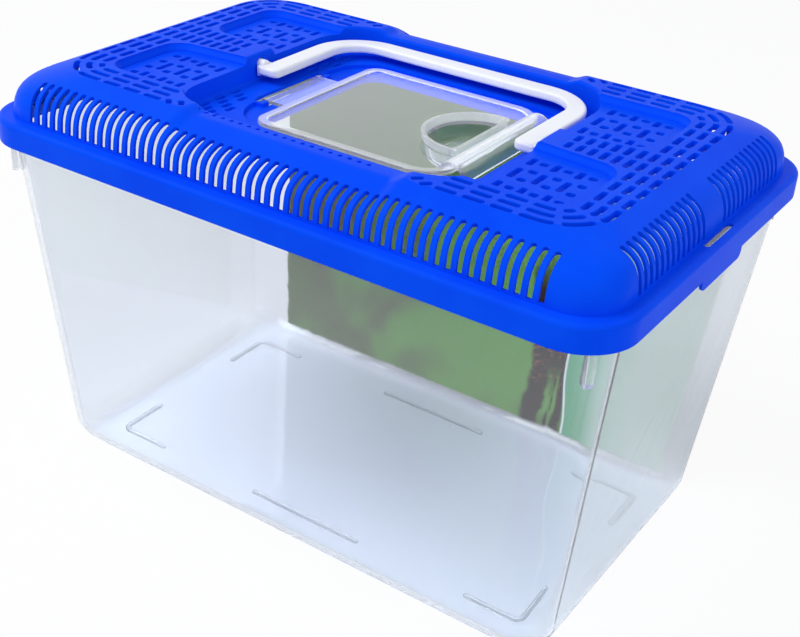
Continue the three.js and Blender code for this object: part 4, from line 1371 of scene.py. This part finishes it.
def studio_world(sky):
    """Soft light from all round, which shows as plain white to the camera and in glass."""
    shader = Shader(bpy.data.worlds.new("studio"))
    seen = shader.ray("Camera")
    for kind in ("Glossy", "Transmission"):
        seen = seen.math("MAXIMUM", shader.ray(kind))
    soft = shader.node("Background", {"Color": (0.95, 0.97, 1.0, 1.0), "Strength": sky})
    white = shader.node("Background", {"Color": WHITE, "Strength": 1.0})
    return shader.surface(shader.blend(seen, soft, white), "OutputWorld")


class TANK_OT_stage(Operator):
    """Set the floor, the soft studio light and the camera"""

    bl_idname = "tank.stage"
    bl_label = "Stage"

    def execute(self, context):
        scene = context.scene
        stage = scene.tank_stage
        bm = bmesh.new()
        bmesh.ops.create_circle(bm, cap_ends=True, segments=64, radius=FLOOR_RADIUS)
        mesh = bpy.data.meshes.new("floor")
        bm.to_mesh(mesh)
        bm.free()
        mesh.materials.append(floor_surface())
        show("floor", mesh)

        scene.world = studio_world(stage.sky)
        aim = (0, 0, stage.aim_height)
        lamp("key", aim, stage.key)
        lamp("fill", aim, stage.fill)

        azimuth, elevation = stage.azimuth, stage.elevation
        back = Vector((math.sin(azimuth) * math.cos(elevation),
                       -math.cos(azimuth) * math.cos(elevation), math.sin(elevation)))
        level = Vector((math.cos(azimuth), math.sin(azimuth), 0))
        right = Matrix.Rotation(stage.roll, 3, back) @ level
        up = back.cross(right)
        target = Vector(aim) + right * stage.aim_right + up * stage.aim_up
        data = bpy.data.cameras.new("camera")
        data.sensor_width = SENSOR_WIDTH
        data.lens = stage.focal_length
        data.shift_x = stage.shift_right
        data.shift_y = stage.shift_up
        data.clip_start = 0.01
        data.clip_end = 50.0
        axes = Matrix((right, up, back)).transposed().to_4x4()
        scene.camera = show("camera", data)
        scene.camera.matrix_world = Matrix.Translation(target + back * stage.distance) @ axes
        scene.view_settings.view_transform = "Standard"
        return {"FINISHED"}


class TANK_PT_panel(Panel):
    """Lists the pieces of the tank and their sizes"""

    bl_idname = "TANK_PT_panel"
    bl_label = "Clear plastic tank"
    bl_space_type = "VIEW_3D"
    bl_region_type = "UI"
    bl_category = "Tank"

    def draw(self, context):
        layout = self.layout
        for operator in OPERATORS:
            layout.operator(operator.bl_idname)
        for name in GROUPS:
            box = layout.box()
            box.label(text=name.removeprefix("tank_").capitalize())
            group = getattr(context.scene, name)
            for key in group.bl_rna.properties.keys():
                if key not in {"rna_type", "name"}:
                    box.prop(group, key)


GROUPS = {
    "tank_tub": TubSizes,
    "tank_lid": LidSizes,
    "tank_slots": SlotSizes,
    "tank_hatch": HatchSizes,
    "tank_handle": HandleSizes,
    "tank_colours": TankColours,
    "tank_stage": TankStageSetup,
}
OPERATORS = (
    TANK_OT_tub, TANK_OT_card, TANK_OT_lid, TANK_OT_hatch, TANK_OT_handle, TANK_OT_stage,
)


def register():
    for name, group in GROUPS.items():
        bpy.utils.register_class(group)
        setattr(bpy.types.Scene, name, PointerProperty(type=group))
    for cls in (*OPERATORS, TANK_PT_panel):
        bpy.utils.register_class(cls)


def unregister():
    for cls in (TANK_PT_panel, *reversed(OPERATORS)):
        bpy.utils.unregister_class(cls)
    for name, group in GROUPS.items():
        delattr(bpy.types.Scene, name)
        bpy.utils.unregister_class(group)


def main():
    register()
    bpy.ops.tank.tub()
    bpy.ops.tank.card()
    bpy.ops.tank.lid()
    bpy.ops.tank.hatch()
    bpy.ops.tank.handle()
    bpy.ops.tank.stage()
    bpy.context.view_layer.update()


if __name__ == "__main__":
    main()
